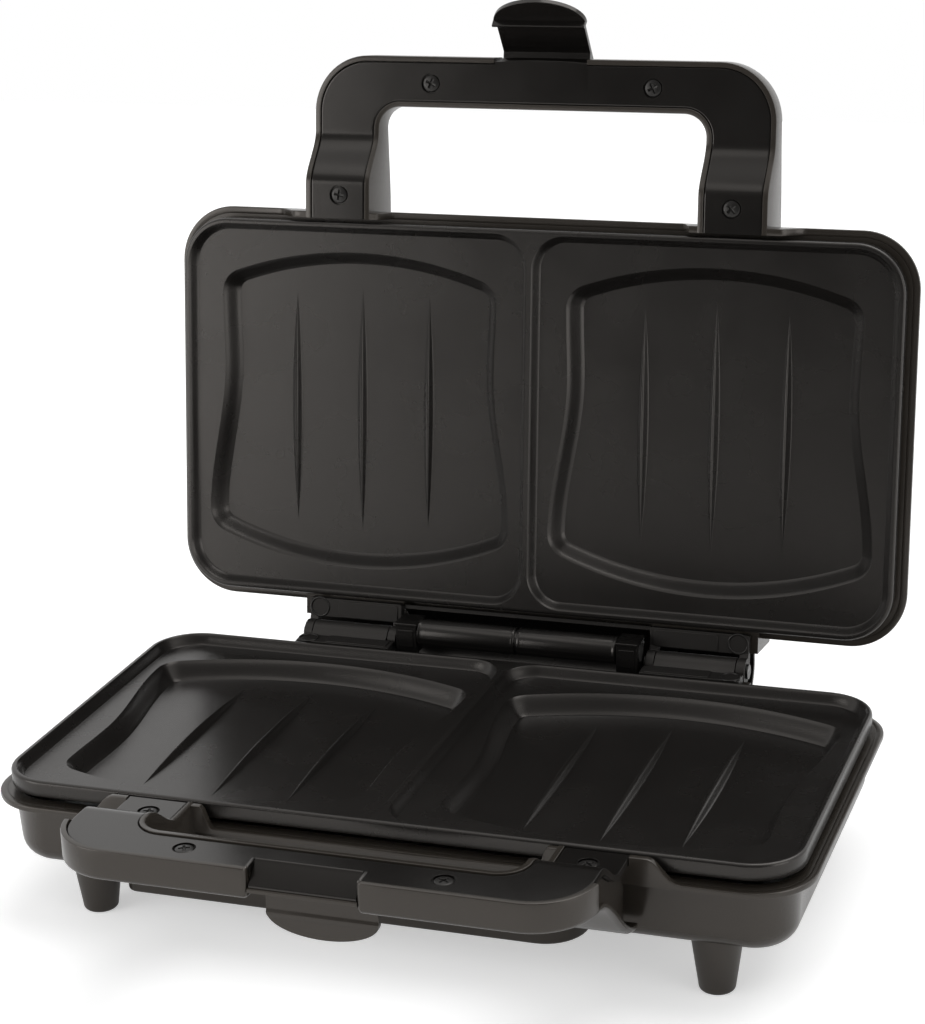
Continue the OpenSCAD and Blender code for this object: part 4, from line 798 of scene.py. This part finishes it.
def upperShellSheets(h):
    sheets = Sheets()
    x = stations[0][:, 0]
    inSlot = within(x, h["slot"])
    joint = lambda v: jointHeight(v, h, halfGap, h["barJoint"] + halfGap)
    front = lambda v: joint(v) + np.where(inSlot, 3.1, 0)
    high = lambda v: armHeight(v, h, h["barJoint"] + halfGap + h["barThick"] + 0.5, h["rootHigh"])
    cutIn = np.where(inSlot, h["slotDepth"], 0)
    r = h["edge"]
    rows = [
        ("out", h["lip"] + cutIn, lambda v: joint(v) + 3.2),
        ("out", h["lip"] + cutIn, lambda v: front(v) + 0.15),
        ("out", h["lip"] - 0.15 + cutIn, front),
        ("out", 0.45 + cutIn, front),
        ("out", 0.12 + cutIn, lambda v: front(v) + 0.12),
        ("out", cutIn, lambda v: front(v) + 0.45),
    ]
    for a in np.radians(np.linspace(0, 90, 6)):
        rows.append(("out", r * (1 - math.cos(a)) + cutIn, (lambda s: lambda v: high(v) - r + r * s)(math.sin(a))))
    for a in np.radians(np.linspace(90, 0, 6)):
        rows.append(("in", r * (1 - math.cos(a)), (lambda s: lambda v: high(v) - r + r * s)(math.sin(a))))
    rows += [
        ("in", 0.0, lambda v: joint(v) + 0.45),
        ("in", 0.12, lambda v: joint(v) + 0.12),
        ("in", 0.45, joint),
        ("in", h["lip"] - 0.15, joint),
        ("in", h["lip"], lambda v: joint(v) + 0.15),
        ("in", h["lip"], lambda v: joint(v) + 3.2),
    ]
    closeStrip(sheets, sectionSheet(rows))
    return sheets


def coverSheets(h, up, bulge):
    # the black cover between the two lips; up is 1 for the lower handle and -1 for the upper one
    sheets = Sheets()
    x = stations[0][:, 0]
    edgeIn = h["lip"] + h["coverGap"]
    cut = within(x, h["notch"] if bulge is None else h["slot"])
    outIn = np.full(len(x), edgeIn)
    if bulge is None:
        outIn = np.where(cut, h["notchDepth"], outIn)
    else:
        arch = np.sqrt(np.clip(1 - (x / (h["slot"] + 4)) ** 2, 0, 1))
        outIn = np.where(cut, edgeIn - bulge * arch, outIn)
    level = lambda v: jointHeight(v, h, -up * (halfGap + h["coverSink"]), h["barJoint"] - up * (halfGap + h["coverSink"]))
    rows = [
        ("out", outIn, lambda v: level(v) - up * h["coverThick"]),
        ("out", outIn, lambda v: level(v) - up * 0.35),
        ("out", outIn + 0.1, lambda v: level(v) - up * 0.1),
        ("out", outIn + 0.35, level),
        ("out", outIn + 0.65, level),
        ("in", edgeIn + 0.65, level),
        ("in", edgeIn + 0.35, level),
        ("in", edgeIn + 0.1, lambda v: level(v) - up * 0.1),
        ("in", edgeIn, lambda v: level(v) - up * 0.35),
        ("in", edgeIn, lambda v: level(v) - up * h["coverThick"]),
    ]
    closeStrip(sheets, sectionSheet(rows))
    return sheets


def barSheets(sheets, profile, x0, x1):
    # an outline in the side view (y, z) carried from x0 to x1
    rows = np.array([np.column_stack([np.full(len(profile), x), profile]) for x in (x0, x1)])
    sheets.closedGrid(rows)


def arcLine(centre, radius, start, end, steps):
    # points of a circle between two angles in degrees
    a = np.radians(np.linspace(start, end, steps + 1))
    return np.stack([centre[0] + radius * np.cos(a), centre[1] + radius * np.sin(a)], axis=1)


def handleScrewSpots(h, up):
    # where the four screws meet the cover's face: two on the bar, two at the roots
    face = up * (halfGap + h["coverSink"])
    bar = [(s * h["screwX"], -handleY + h["screwBack"], h["barJoint"] - face) for s in (-1, 1)]
    root = [(s * (handleX - h["rootScrewIn"]), -rimY - h["rootScrewOut"], -face) for s in (-1, 1)]
    return bar + root


def discSheets(sheets, spot, radius, z0, z1, steps=40):
    # a round plug between two heights
    ring = arcLine(spot[:2], radius, 0, 360 - 360 / steps, steps - 1)
    rows = [np.column_stack([ring, np.full(len(ring), z)]) for z in (z0, z1)]
    sheets.closedGrid(np.array(rows))


def sinkSheets(spots, h, up):
    # the round sinks for the screws' heads
    sheets = Sheets()
    for spot in spots:
        discSheets(sheets, spot, h["sink"], spot[2] + up * 1.0, spot[2] - up * h["sinkDepth"])
    return sheets


def notchSheets(h):
    # the cover's turned lip at the notch: a slope down to the ledge with a bead along its top,
    # and two short beads that run forward beside the notch
    sheets = Sheets()
    front = -handleY
    bead = arcLine((front + 8.0, 9.75), 0.6, 150, 0, 6)
    slope = np.vstack([[[front + 8.6, 8.0]], bead[::-1], [[front + 6.9, 9.2], [front + 1.2, 4.4],
                       [front + 1.0, 4.0], [front + 1.0, 3.25], [front + 3.0, 3.25], [front + 7.7, 7.2]]])
    barSheets(sheets, slope, -h["notch"] + 0.35, h["notch"] - 0.35)
    for s in (-1, 1):
        x = s * (h["notch"] + 0.45)
        ring = arcLine((x, 9.6), 0.55, 0, 330, 11)
        rows = [np.column_stack([ring[:, 0], np.full(12, y), ring[:, 1] - drop])
                for y, drop in ((front + 2.4, 0.35), (front + 3.2, 0), (front + 8.3, -0.1))]
        sheets.closedGrid(np.array(rows))
    return sheets


black = finishes["handle_black"]
lowerSpots, upperSpots = handleScrewSpots(handle, 1), handleScrewSpots(handle, -1)
putPiece("lowerHandleShell", lowerShellSheets(handle), setDown, "base", ["lower_handle_shell"], bronze,
         bevel=0.6, bevelSteps=3)
putPiece("lowerHandleCover", coverSheets(handle, 1, None), setDown, "base", ["lower_handle_cover"], black,
         bevel=0.2, holes=sinkSheets(lowerSpots, handle, 1))
putPiece("lowerNotchLip", notchSheets(handle), setDown, "base", [], black, bevel=0.15)
putPiece("upperHandleShell", upperShellSheets(handle), swingOpen, "lid", ["upper_handle_shell"], bronze,
         bevel=0.3)
putPiece("upperHandleCover", coverSheets(handle, -1, 1.6), swingOpen, "lid", ["upper_handle_cover"], black,
         bevel=0.2, holes=sinkSheets(upperSpots, handle, -1))
print("handles made")


# Screws

screw = {
    "head": 3.15, "dome": 0.3, "rim": 0.35,
    "shank": 1.5, "length": 9.0, "neck": 1.7,
    "armLong": 2.0, "armHalf": 0.38, "soft": 0.16, "recess": 0.95,
    "under": 0.3,            # how deep the head's edge lies in its sink
}


def screwSheets(spots, up, s):
    # over a disc the height is a low dome less a cross: each arm of the cross is a strip whose
    # sides and ends fall off by the smooth cubic; below the edge come the cone and the shank
    sheets = Sheets()
    for k, spot in enumerate(spots):
        a = np.radians(np.linspace(0, 360, 73)[:-1])
        r = s["head"] * np.concatenate([np.linspace(0, 0.8, 25), [0.88, 0.94, 0.975, 0.993, 1.0]])[:, None]
        x, y = r * np.cos(a), r * np.sin(a)
        round_ = np.clip((r - s["head"] + s["rim"]) / s["rim"], 0, 1)
        z = s["dome"] * (1 - (r / s["head"]) ** 2) - s["rim"] * (1 - np.sqrt(1 - round_ ** 2)) + 0 * a
        turn = math.radians(25 + 37 * k)
        u, v = x * math.cos(turn) + y * math.sin(turn), y * math.cos(turn) - x * math.sin(turn)
        arms = [smooth((s["armHalf"] - np.abs(q)) / s["soft"] + 0.5) * smooth((s["armLong"] - np.abs(w)) / s["soft"])
                * (1 - 0.5 * np.abs(w) / s["armLong"]) for q, w in ((u, v), (v, u))]
        z = z - s["recess"] * np.maximum(*arms)
        rows = list(np.stack([x, y, z], axis=-1))
        for radius, low in ((s["head"], -0.6), (s["shank"], -s["neck"]), (s["shank"], -s["length"])):
            rows.append(np.stack([radius * np.cos(a), radius * np.sin(a), np.full_like(a, low)], axis=-1))
        sheet = np.array(rows)
        sheet[:, :, 2] = spot[2] + up * (sheet[:, :, 2] - s["under"])
        sheet[:, :, 0] += spot[0]
        sheet[:, :, 1] += spot[1]
        sheets.grid(sheet)
        sheets.cap(sheet[-1])
    return sheets


oxide = finishes["screw_black"]
putPiece("lowerHandleScrews", screwSheets(lowerSpots, 1, screw), setDown, "base", ["lower_handle_screws"],
         oxide)
putPiece("upperHandleScrews", screwSheets(upperSpots, -1, screw), swingOpen, "lid", ["upper_handle_screws"],
         oxide)
print("handle screws made")


# Latch

latch = {
    "half": 17.0, "tabHalf": 17.9, "tabHeight": 10.1,
    "hub": 2.8, "front": -5.1, "back": -3.1,
    "tabTop": -18.6, "barbTop": -17.85, "barbLow": -18.9, "barbReach": -0.45,
}


def latchSheets(d):
    # seen from the side a web hangs from a round hub; the tab is a half ellipse under it, and the
    # barb is a wedge with a blunt edge behind the tab's straight side
    sheets = Sheets()
    hub = arcLine((0, 0), d["hub"], -120, 90, 16)
    web = np.vstack([hub, [[d["front"] + 1.4, d["hub"]], [d["front"] + 0.4, d["hub"] - 0.4],
                           [d["front"], d["hub"] - 1.4], [d["front"], d["tabTop"]], [d["back"], d["tabTop"]],
                           [d["back"], -d["hub"] - 1.2]]])
    barSheets(sheets, web, -d["half"], d["half"])
    a = np.radians(np.linspace(180, 360, 49))
    bow = np.stack([d["tabHalf"] * np.cos(a), d["tabTop"] + d["tabHeight"] * np.sin(a)], axis=1)
    corner = np.array([[d["tabHalf"], d["tabTop"] + 0.7], [d["tabHalf"] - 0.3, d["tabTop"] + 1.1],
                       [-d["tabHalf"] + 0.3, d["tabTop"] + 1.1], [-d["tabHalf"], d["tabTop"] + 0.7]])
    outline = np.vstack([bow, corner])
    rows = [np.column_stack([outline[:, 0], np.full(len(outline), y), outline[:, 1]])
            for y in (d["front"], d["back"])]
    sheets.closedGrid(np.array(rows))
    barb = np.array([[d["back"] - 0.3, d["barbTop"] + 0.2], [d["barbReach"] - 0.5, d["barbTop"] - 0.3],
                     [d["barbReach"], d["barbTop"] - 0.8], [d["barbReach"] - 0.1, d["barbTop"] - 1.5],
                     [d["back"] - 0.3, d["barbLow"] - 0.9]])
    barSheets(sheets, barb, -d["tabHalf"], d["tabHalf"])
    return sheets


putPiece("latchPiece", latchSheets(latch), swingLatch, "latch", ["latch"], black, bevel=0.45,
         bevelSteps=3)
print("latch made")


# Finger tab

fingerTab = {
    "half": 19.0, "front": -120.2, "back": -118.2, "top": -0.7, "fold": -12.4,
    "tipHeight": 7.6, "bead": 0.6,
}


def fingerTabSheets(t):
    # a web that ends in a fold, and under it a tip whose half width falls as the cosine while its
    # height runs as the sine; the fold stands forward by a smooth hump
    sheets = Sheets()
    across = np.linspace(-1, 1, 25)
    down = np.concatenate([np.linspace(t["top"], t["fold"] + 1.6, 4), np.linspace(t["fold"] + 1.2, t["fold"], 5)])
    a = np.radians(np.linspace(0, 90, 17))[1:]
    z = np.concatenate([down, t["fold"] - t["tipHeight"] * np.sin(a)])
    half = t["half"] * np.concatenate([np.ones(len(down)), np.cos(a)])
    hump = t["bead"] * np.exp(-((z - t["fold"]) / 1.1) ** 2)
    x = half[:, None] * across
    sheetZ = np.broadcast_to(z[:, None], x.shape)
    frontSheet = np.stack([x, np.broadcast_to((t["front"] - hump)[:, None], x.shape), sheetZ], axis=-1)
    backSheet = np.stack([x, np.full(x.shape, t["back"]), sheetZ], axis=-1)
    sheets.grid(frontSheet, closeColumns=False)
    sheets.grid(backSheet, closeColumns=False)
    for k in (0, -1):
        sheets.grid(np.stack([frontSheet[:, k], backSheet[:, k]], axis=1), closeColumns=False)
    sheets.grid(np.stack([frontSheet[0], backSheet[0]], axis=0), closeColumns=False)
    return sheets


putPiece("fingerTab", fingerTabSheets(fingerTab), setDown, "base", ["finger_tab"], bronze,
         bevel=0.35, bevelSteps=2)


# Feet and bottom cover

stand = {
    "footX": 111.7, "frontY": -56.65, "rearY": 62.15,
    "topRadius": 8.9, "tipRadius": 6.2, "edge": 1.6, "height": 20.6,
    "coverLeft": 16.0, "coverHalfX": 84.0, "coverShift": 2.4, "coverShorter": 1.2, "coverHalfY": 58.0, "coverHeight": 13.0,
    "coverRadii": [15.0, 4.0, 4.0, 15.0], "coverEdge": 1.6,
    "screwX": 60.0, "screwY": 40.0, "screwDeep": 4.0,
}


def footSheets(centre, t):
    # a straight taper turned round its axis, with a quarter round under it and a shallow hollow
    sheets = Sheets()
    top, low = -housing["bottom"], -housing["bottom"] - t["height"]
    turn = np.radians(np.linspace(0, 90, 8))
    r = np.concatenate([[t["topRadius"], t["topRadius"]], t["tipRadius"] - t["edge"] * (1 - np.cos(turn)),
                        [t["tipRadius"] - 2.4, t["tipRadius"] - 2.7, 0.6]])
    z = np.concatenate([[top + 0.4, top], low + t["edge"] * (1 - np.sin(turn)), [low, low + 0.4, low + 0.4]])
    a = np.radians(np.linspace(0, 360, 65)[:-1])
    sheet = np.stack([centre[0] + r[:, None] * np.cos(a), centre[1] + r[:, None] * np.sin(a),
                      np.broadcast_to(z[:, None], (len(z), len(a)))], axis=-1)
    sheets.closedGrid(sheet)
    return sheets


for endName, y in (("front", stand["frontY"]), ("rear", stand["rearY"])):
    for sideName, x in (("left", -stand["footX"]), ("right", stand["footX"])):
        putPiece(endName + sideName.capitalize() + "Foot", footSheets((x, y), stand), setDown, "base",
                 ["foot_" + endName + "_" + sideName], finishes["foot_bronze"])


def bottomCoverSheets(t):
    # a shallow tray upside down: the wall, a quarter round, and the flat underside
    sheets = Sheets()
    loop = roundedLoop(t["coverHalfX"] - t["coverShorter"], t["coverHalfY"], t["coverRadii"], 10)
    top, low = -housing["bottom"] - 0.02, -housing["bottom"] - t["coverHeight"]
    turn = np.radians(np.linspace(0, 90, 7))
    insets = [2.0, 2.0, 0.0, *(t["coverEdge"] * (1 - np.cos(turn)))]
    heights = [low + 2.0, top, top, *(low + t["coverEdge"] * (1 - np.sin(turn)))]
    sheet = ringSheet(loop, insets, heights)
    sheet[:, :, 0] -= t["coverLeft"] + t["coverShift"]
    sheets.closedGrid(sheet)
    return sheets


coverSpots = [(sx * stand["screwX"] - stand["coverLeft"], sy * stand["screwY"],
               -housing["bottom"] - stand["screwDeep"]) for sx in (-1, 1) for sy in (-1, 1)]
coverHoles = Sheets()
for spot in coverSpots:
    discSheets(coverHoles, spot, 3.4, -housing["bottom"] - stand["coverHeight"] - 1, spot[2])
putPiece("bottomCoverTray", bottomCoverSheets(stand), setDown, "base", ["bottom_cover"], finishes["foot_bronze"],
         holes=coverHoles)
putPiece("bottomCoverScrews", screwSheets(coverSpots, -1, screw), setDown, "base", ["bottom_cover_screws"],
         oxide)
print("feet and bottom cover made")


# Hinge

hinge = {
    "inner": 50.0, "outer": 88.2, "ear": 3.4, "earGap": 0.2,
    "barrel": 4.9, "flangeFront": 74.57, "flangeRear": 81.97, "flangeLow": 3.5, "flangeTop": 0.5,
    "screwX": (84.1, 57.1), "screwY": 78.07, "bossRadius": 4.0, "bossBead": 0.42,
    "padInner": 51.5, "padOuter": 76.5, "padThick": 0.38,
    "troughIn": 12.2, "troughOut": 14.0, "troughEnd": 420.0, "troughHalf": 49.7,
    "tube": 5.4, "tubeFront": 3.8, "tubeZ": 3.6, "tubeHalf": 39.5, "seam": 0.5,
    "clipEnd": 48.5, "pin": 1.9, "pinHead": 2.8,
}
axis = (hingePos[1], hingePos[2])


def roundBox(sheets, low, high, r):
    # a box with its four upright edges rounded by arcs of radius r
    half = [(high[k] - low[k]) / 2 for k in (0, 1)]
    loop = roundedLoop(half[0], half[1], [r] * 4, 4)
    middle = np.array([(low[k] + high[k]) / 2 for k in (0, 1)])
    rows = [np.column_stack([loop[0] + middle, np.full(len(loop[0]), z)]) for z in (low[2], high[2])]
    sheets.closedGrid(np.array(rows))


def beadRing(sheets, spot, radius, bead):
    # a ring of round section: one circle carried round another
    a = np.radians(np.linspace(0, 360, 49)[:-1])[:, None]
    b = np.radians(np.linspace(0, 360, 13)[:-1])[None, :]
    r = radius + bead * np.cos(b)
    ring = np.stack([spot[0] + r * np.cos(a), spot[1] + r * np.sin(a), spot[2] + bead * np.sin(b) + 0 * a], axis=-1)
    sheets.grid(ring, closeRows=True)


def bracketSheets(h, side, up):
    # flange on its block, the knuckles round the axis, and a pad over the inner screw;
    # up is 1 for the base's bracket and -1 for the lid's, which is drawn with the lid shut
    sheets = Sheets()

    def spanX(a, b):
        return min(side * a, side * b), max(side * a, side * b)

    low, top = sorted((-up * h["flangeLow"], -up * h["flangeTop"]))
    x0, x1 = spanX(h["inner"], h["outer"])
    roundBox(sheets, (x0, h["flangeFront"], low), (x1, h["flangeRear"], top), 0.8)
    face = -up * h["flangeTop"]
    p0, p1 = spanX(h["padInner"], h["padOuter"])
    padLow, padTop = sorted((face - up * 0.2, face + up * h["padThick"]))
    roundBox(sheets, (p0, h["flangeFront"] + 0.6, padLow), (p1, h["flangeRear"] - 0.3, padTop), 1.2)
    root = h["flangeRear"] - 0.5
    if up > 0:
        knuckle = np.vstack([[[root, low]], arcLine(axis, h["barrel"], -160, 150, 30), [[root, top]]])
        ears = [(h["inner"] + h["ear"] + h["earGap"], h["outer"] - h["ear"] - h["earGap"])]
    else:
        knuckle = np.vstack([[[root, low]], arcLine(axis, h["barrel"], 160, 440, 30), [[root, top]]])
        ears = [(h["inner"], h["inner"] + h["ear"]), (h["outer"] - h["ear"], h["outer"])]
    for a, b in ears:
        barSheets(sheets, knuckle, *spanX(a, b))
    return sheets


hingeBlack = finishes["hinge_black"]
for sideName, side in (("left", -1), ("right", 1)):
    putPiece(sideName + "BaseLeaf", bracketSheets(hinge, side, 1), setDown, "base",
             ["base_hinge_bracket_" + sideName], finishes["hinge_leaf"], bevel=0.25)
    putPiece(sideName + "LidLeaf", bracketSheets(hinge, side, -1), swingOpen, "lid",
             ["lid_hinge_bracket_" + sideName], finishes["hinge_leaf"], bevel=0.25)
for name, up, place, body in (("base", 1, setDown, "base"), ("lid", -1, swingOpen, "lid")):
    spots = [(s * x, hinge["screwY"], -up * hinge["flangeTop"] - up * 0.1) for s in (-1, 1) for x in hinge["screwX"]]
    hingeScrews = screwSheets(spots, up, screw)
    for s in (-1, 1):
        beadRing(hingeScrews, (s * hinge["screwX"][0], hinge["screwY"], -up * hinge["flangeTop"]),
                 hinge["bossRadius"] - 0.3, hinge["bossBead"])
    putPiece(name + "HingeScrews", hingeScrews, place, body, [name + "_hinge_screws"], oxide)


def pinSheets(h, side):
    # two short pins through the knuckles, each with a low round head at both ends
    sheets = Sheets()
    long = 2 * h["ear"] + h["earGap"]
    x = np.array([-0.9, -0.9, -0.1, -0.1, long + 0.1, long + 0.1, long + 0.9, long + 0.9])
    r = np.array([h["pinHead"] - 0.5, h["pinHead"], h["pinHead"], h["pin"], h["pin"], h["pinHead"],
                  h["pinHead"], h["pinHead"] - 0.5])[:, None]
    a = np.radians(np.linspace(0, 360, 33)[:-1])
    y, z = axis[0] + r * np.cos(a), axis[1] + r * np.sin(a)
    for start in (h["inner"], h["outer"] - long):
        sheets.closedGrid(np.stack([np.broadcast_to(side * (start + x[:, None]), y.shape), y, z], axis=-1))
    return sheets


for sideName, side in (("left", -1), ("right", 1)):
    putPiece(sideName + "HingePins", pinSheets(hinge, side), setDown, "base", ["hinge_pins_" + sideName],
             finishes["pin_steel"])


def troughSheets(h):
    # a strip of a ring round the hinge axis, carried from side to side, with a flat lead to the
    # housing in the middle and a lower strip behind each bracket
    sheets = Sheets()
    lowZ = axis[1] - h["troughOut"]
    wall = np.vstack([arcLine(axis, h["troughOut"], 270, h["troughEnd"], 30),
                      arcLine(axis, h["troughIn"], h["troughEnd"], 270, 30)])
    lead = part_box("hinge_cover")[0][1] / mm + midY
    lip = np.vstack([[[lead, lowZ]], wall, [[lead, axis[1] - h["troughIn"]]]])
    barSheets(sheets, lip, -h["troughHalf"], h["troughHalf"])
    behind = np.vstack([arcLine(axis, h["troughOut"], 252, 370, 24), arcLine(axis, h["troughIn"], 370, 252, 24)])
    for s in (-1, 1):
        x0, x1 = sorted((s * (h["troughHalf"] - 0.1), s * h["outer"]))
        barSheets(sheets, behind, x0, x1)
    return sheets


putPiece("hingeTrough", troughSheets(hinge), setDown, "base", ["hinge_cover"], hingeBlack, bevel=0.3)


def tubeSheets(h, side):
    # half of the wiring tube: its radius dips at the ends behind a narrow bead
    sheets = Sheets()
    x = np.array([h["seam"], h["seam"], 0.75, 1.3, 1.5, 1.7, 2.6, 20, 37.4, 38.2, 38.4, 38.7, 39.3, h["tubeHalf"], h["tubeHalf"]])
    dip = np.array([1.9, 0.3, 0.05, 0.0, 0.2, 0.22, 0.08, 0.0, 0.08, 0.22, 0.2, 0.0, 0.05, 0.3, 1.7])
    a = np.radians(np.linspace(0, 360, 61)[:-1])
    r = (h["tube"] - dip)[:, None]
    y, z = axis[0] - h["tubeFront"] + r * np.cos(a), h["tubeZ"] + r * np.sin(a)
    sheets.closedGrid(np.stack([np.broadcast_to(side * x[:, None], y.shape), y, z], axis=-1))
    if side < 0:
        core = np.array([-h["seam"] - 0.2, h["seam"] + 0.2])
        y, z = (v + (h["tube"] - 0.8) * f(a) for v, f in ((axis[0] - h["tubeFront"], np.cos), (h["tubeZ"], np.sin)))
        sheets.closedGrid(np.stack([np.broadcast_to(core[:, None], (2, 60)), np.broadcast_to(y, (2, 60)),
                                    np.broadcast_to(z, (2, 60))], axis=-1))
    return sheets


for sideName, side in (("left", -1), ("right", 1)):
    putPiece(sideName + "WiringTube", tubeSheets(hinge, side), setDown, "base", ["wiring_tube_" + sideName],
             hingeBlack, sharp=40)


def clipSheets(h):
    # a block at each end of the tube, with a thin cap over it and a foot down to the trough
    sheets = Sheets()
    y0, y1 = axis[0] - h["tubeFront"] - h["tube"] + 0.3, axis[0] - h["tubeFront"] + h["tube"] + 0.6
    z0, z1 = h["tubeZ"] - h["tube"] - 2, h["tubeZ"] + h["tube"] - 0.5
    for s in (-1, 1):
        xs = sorted((s * (h["tubeHalf"] + 0.02), s * h["clipEnd"]))
        boxSheets(sheets, [xs[0] + 0.3, y0 + 0.5, z0], [xs[1] - 0.3, y1, z1 - 0.9])
        boxSheets(sheets, [xs[0], y0, z1 - 1.2], [xs[1], y1, z1])
        boxSheets(sheets, [xs[0] + 1.5, y0 + 0.1, z0 + 2.5], [xs[1] - 1.5, y0 + 1.0, z1 - 2.6])
        boxSheets(sheets, [xs[0] + 0.3, y0, axis[1] - h["troughIn"]], [xs[1] - 0.3, y0 + 3.4, z0 + 0.5])
    return sheets


putPiece("tubeClips", clipSheets(hinge), setDown, "base", ["wiring_tube_clips"], hingeBlack, bevel=0.35)
print("hinge made")


# Lamps on the lid

lamps = {"x": 13.0, "y": -45.15, "radius": 4.0, "out": 0.8, "collar": 4.7}


def lensSheets(x, l):
    # a shallow dome: the radius runs as the sine and the height as the cosine
    sheets = Sheets()
    outside = -housing["bottom"]
    t = np.radians(np.linspace(90, 2, 12))
    r = np.concatenate([[l["radius"] - 0.05], (l["radius"] - 0.05) * np.sin(t)])
    z = np.concatenate([[outside + 2.4], outside - 0.25 - (l["out"] - 0.25) * np.cos(t)])
    a = np.radians(np.linspace(0, 360, 49)[:-1])
    sheet = np.stack([x + r[:, None] * np.cos(a), l["y"] + r[:, None] * np.sin(a),
                      np.broadcast_to(z[:, None], (len(z), len(a)))], axis=-1)
    sheets.closedGrid(sheet)
    return sheets


for name, s in (("power", -1), ("ready", 1)):
    slotName = slotOf[name + "_lamp_lens"]
    putPiece(name + "Lens", lensSheets(s * lamps["x"], lamps), turnOver, "lid", [name + "_lamp_lens"],
             finishes[slotName])
print("lamps made")


# Light and floor

def areaLight(name, place, target, size, power):
    data = bpy.data.lights.new(name, "AREA")
    data.shape = "RECTANGLE"
    data.size, data.size_y = size
    data.energy = power
    lamp = bpy.data.objects.new(name, data)
    bpy.context.scene.collection.objects.link(lamp)
    lamp.location = place
    lamp.rotation_euler = (Vector(target) - Vector(place)).to_track_quat("-Z", "Y").to_euler()
    return lamp


studio = {
    "skyLevel": 0.5,         # what dull surfaces get from the room
    "frontLevel": 0.08,      # what shiny surfaces see on the camera's side of the room
    "frontFrom": -0.95, "frontTo": 0.1,
    "sunPower": 1.25,
    "sunAngle": 50.0,
    "floorTone": 0.86, "floorSize": 3.0,
    "floorGlow": 0.46, "floorShine": 0.22,
    "topPlace": (-0.42, -0.5, 1.3), "topSize": (0.9, 0.4), "topPower": 0.9,
    "leftPlace": (-1.02, -1.0, 0.4), "leftSize": (0.9, 0.8), "leftPower": 7.0,
    "rightPlace": (1.25, -0.45, 0.35), "rightSize": (0.7, 0.8), "rightPower": 3.0,
}


def mapRange(nodes, links, source, fromLow, fromHigh, toLow, toHigh):
    ranger = nodes.new("ShaderNodeMapRange")
    for key, value in (("From Min", fromLow), ("From Max", fromHigh), ("To Min", toLow), ("To Max", toHigh)):
        ranger.inputs[key].default_value = value
    links.new(source, ranger.inputs["Value"])
    return ranger.outputs["Result"]


def makeStudio(s):
    # the room is white to the camera, dimmer to dull surfaces, and dark on the camera's side to shiny ones
    world = bpy.data.worlds.new("studio")
    bpy.context.scene.world = world
    world.use_nodes = True
    nodes, links = world.node_tree.nodes, world.node_tree.links
    background = nodes["Background"]
    background.inputs["Color"].default_value = (1, 1, 1, 1)
    path = nodes.new("ShaderNodeLightPath")
    way = nodes.new("ShaderNodeTexCoord")
    parts = nodes.new("ShaderNodeSeparateXYZ")
    links.new(way.outputs["Generated"], parts.inputs["Vector"])
    shiny = mapRange(nodes, links, parts.outputs["Y"], s["frontFrom"], s["frontTo"], s["frontLevel"], 1.0)
    levels = []
    for value, gate in ((shiny, "Is Glossy Ray"), (None, "Is Camera Ray")):
        mixer = nodes.new("ShaderNodeMix")
        mixer.inputs["A"].default_value = s["skyLevel"]
        mixer.inputs["B"].default_value = 1.0
        links.new(path.outputs[gate], mixer.inputs["Factor"])
        if value:
            links.new(value, mixer.inputs["B"])
        if levels:
            links.new(levels[-1], mixer.inputs["A"])
        levels.append(mixer.outputs["Result"])
    links.new(levels[-1], background.inputs["Strength"])
    sun = bpy.data.lights.new("topLight", "SUN")
    sun.energy = s["sunPower"]
    sun.angle = math.radians(s["sunAngle"])
    lamp = bpy.data.objects.new("topLight", sun)
    lamp.rotation_euler = (math.radians(-18), math.radians(14), 0)
    bpy.context.scene.collection.objects.link(lamp)
    bpy.ops.mesh.primitive_plane_add(size=s["floorSize"])
    floor = bpy.context.object
    floor.name = "studioFloor"
    paper = bpy.data.materials.new("paleFloor")
    paper.use_nodes = True
    nodes, links = paper.node_tree.nodes, paper.node_tree.links
    shader = nodes["Principled BSDF"]
    shader.inputs["Base Color"].default_value = (s["floorTone"],) * 3 + (1,)
    shader.inputs["Roughness"].default_value = 0.9
    shader.inputs["Emission Color"].default_value = (1, 1, 1, 1)
    path = nodes.new("ShaderNodeLightPath")
    glow = mapRange(nodes, links, path.outputs["Is Camera Ray"], 0, 1, 0, s["floorGlow"])
    shine = mapRange(nodes, links, path.outputs["Is Glossy Ray"], 0, 1, 0, s["floorShine"])
    both = nodes.new("ShaderNodeMath")
    links.new(glow, both.inputs[0])
    links.new(shine, both.inputs[1])
    links.new(both.outputs["Value"], shader.inputs["Emission Strength"])
    floor.data.materials.append(paper)
    bpy.context.scene.view_settings.view_transform = "Standard"


makeStudio(studio)
areaLight("leftBox", studio["leftPlace"], (0, 0.1, 0.15), studio["leftSize"], studio["leftPower"])
areaLight("rightBox", studio["rightPlace"], (0, 0, 0.05), studio["rightSize"], studio["rightPower"])
areaLight("topBox", studio["topPlace"], (0, 0, 0.1), studio["topSize"], studio["topPower"])
print("studio made")
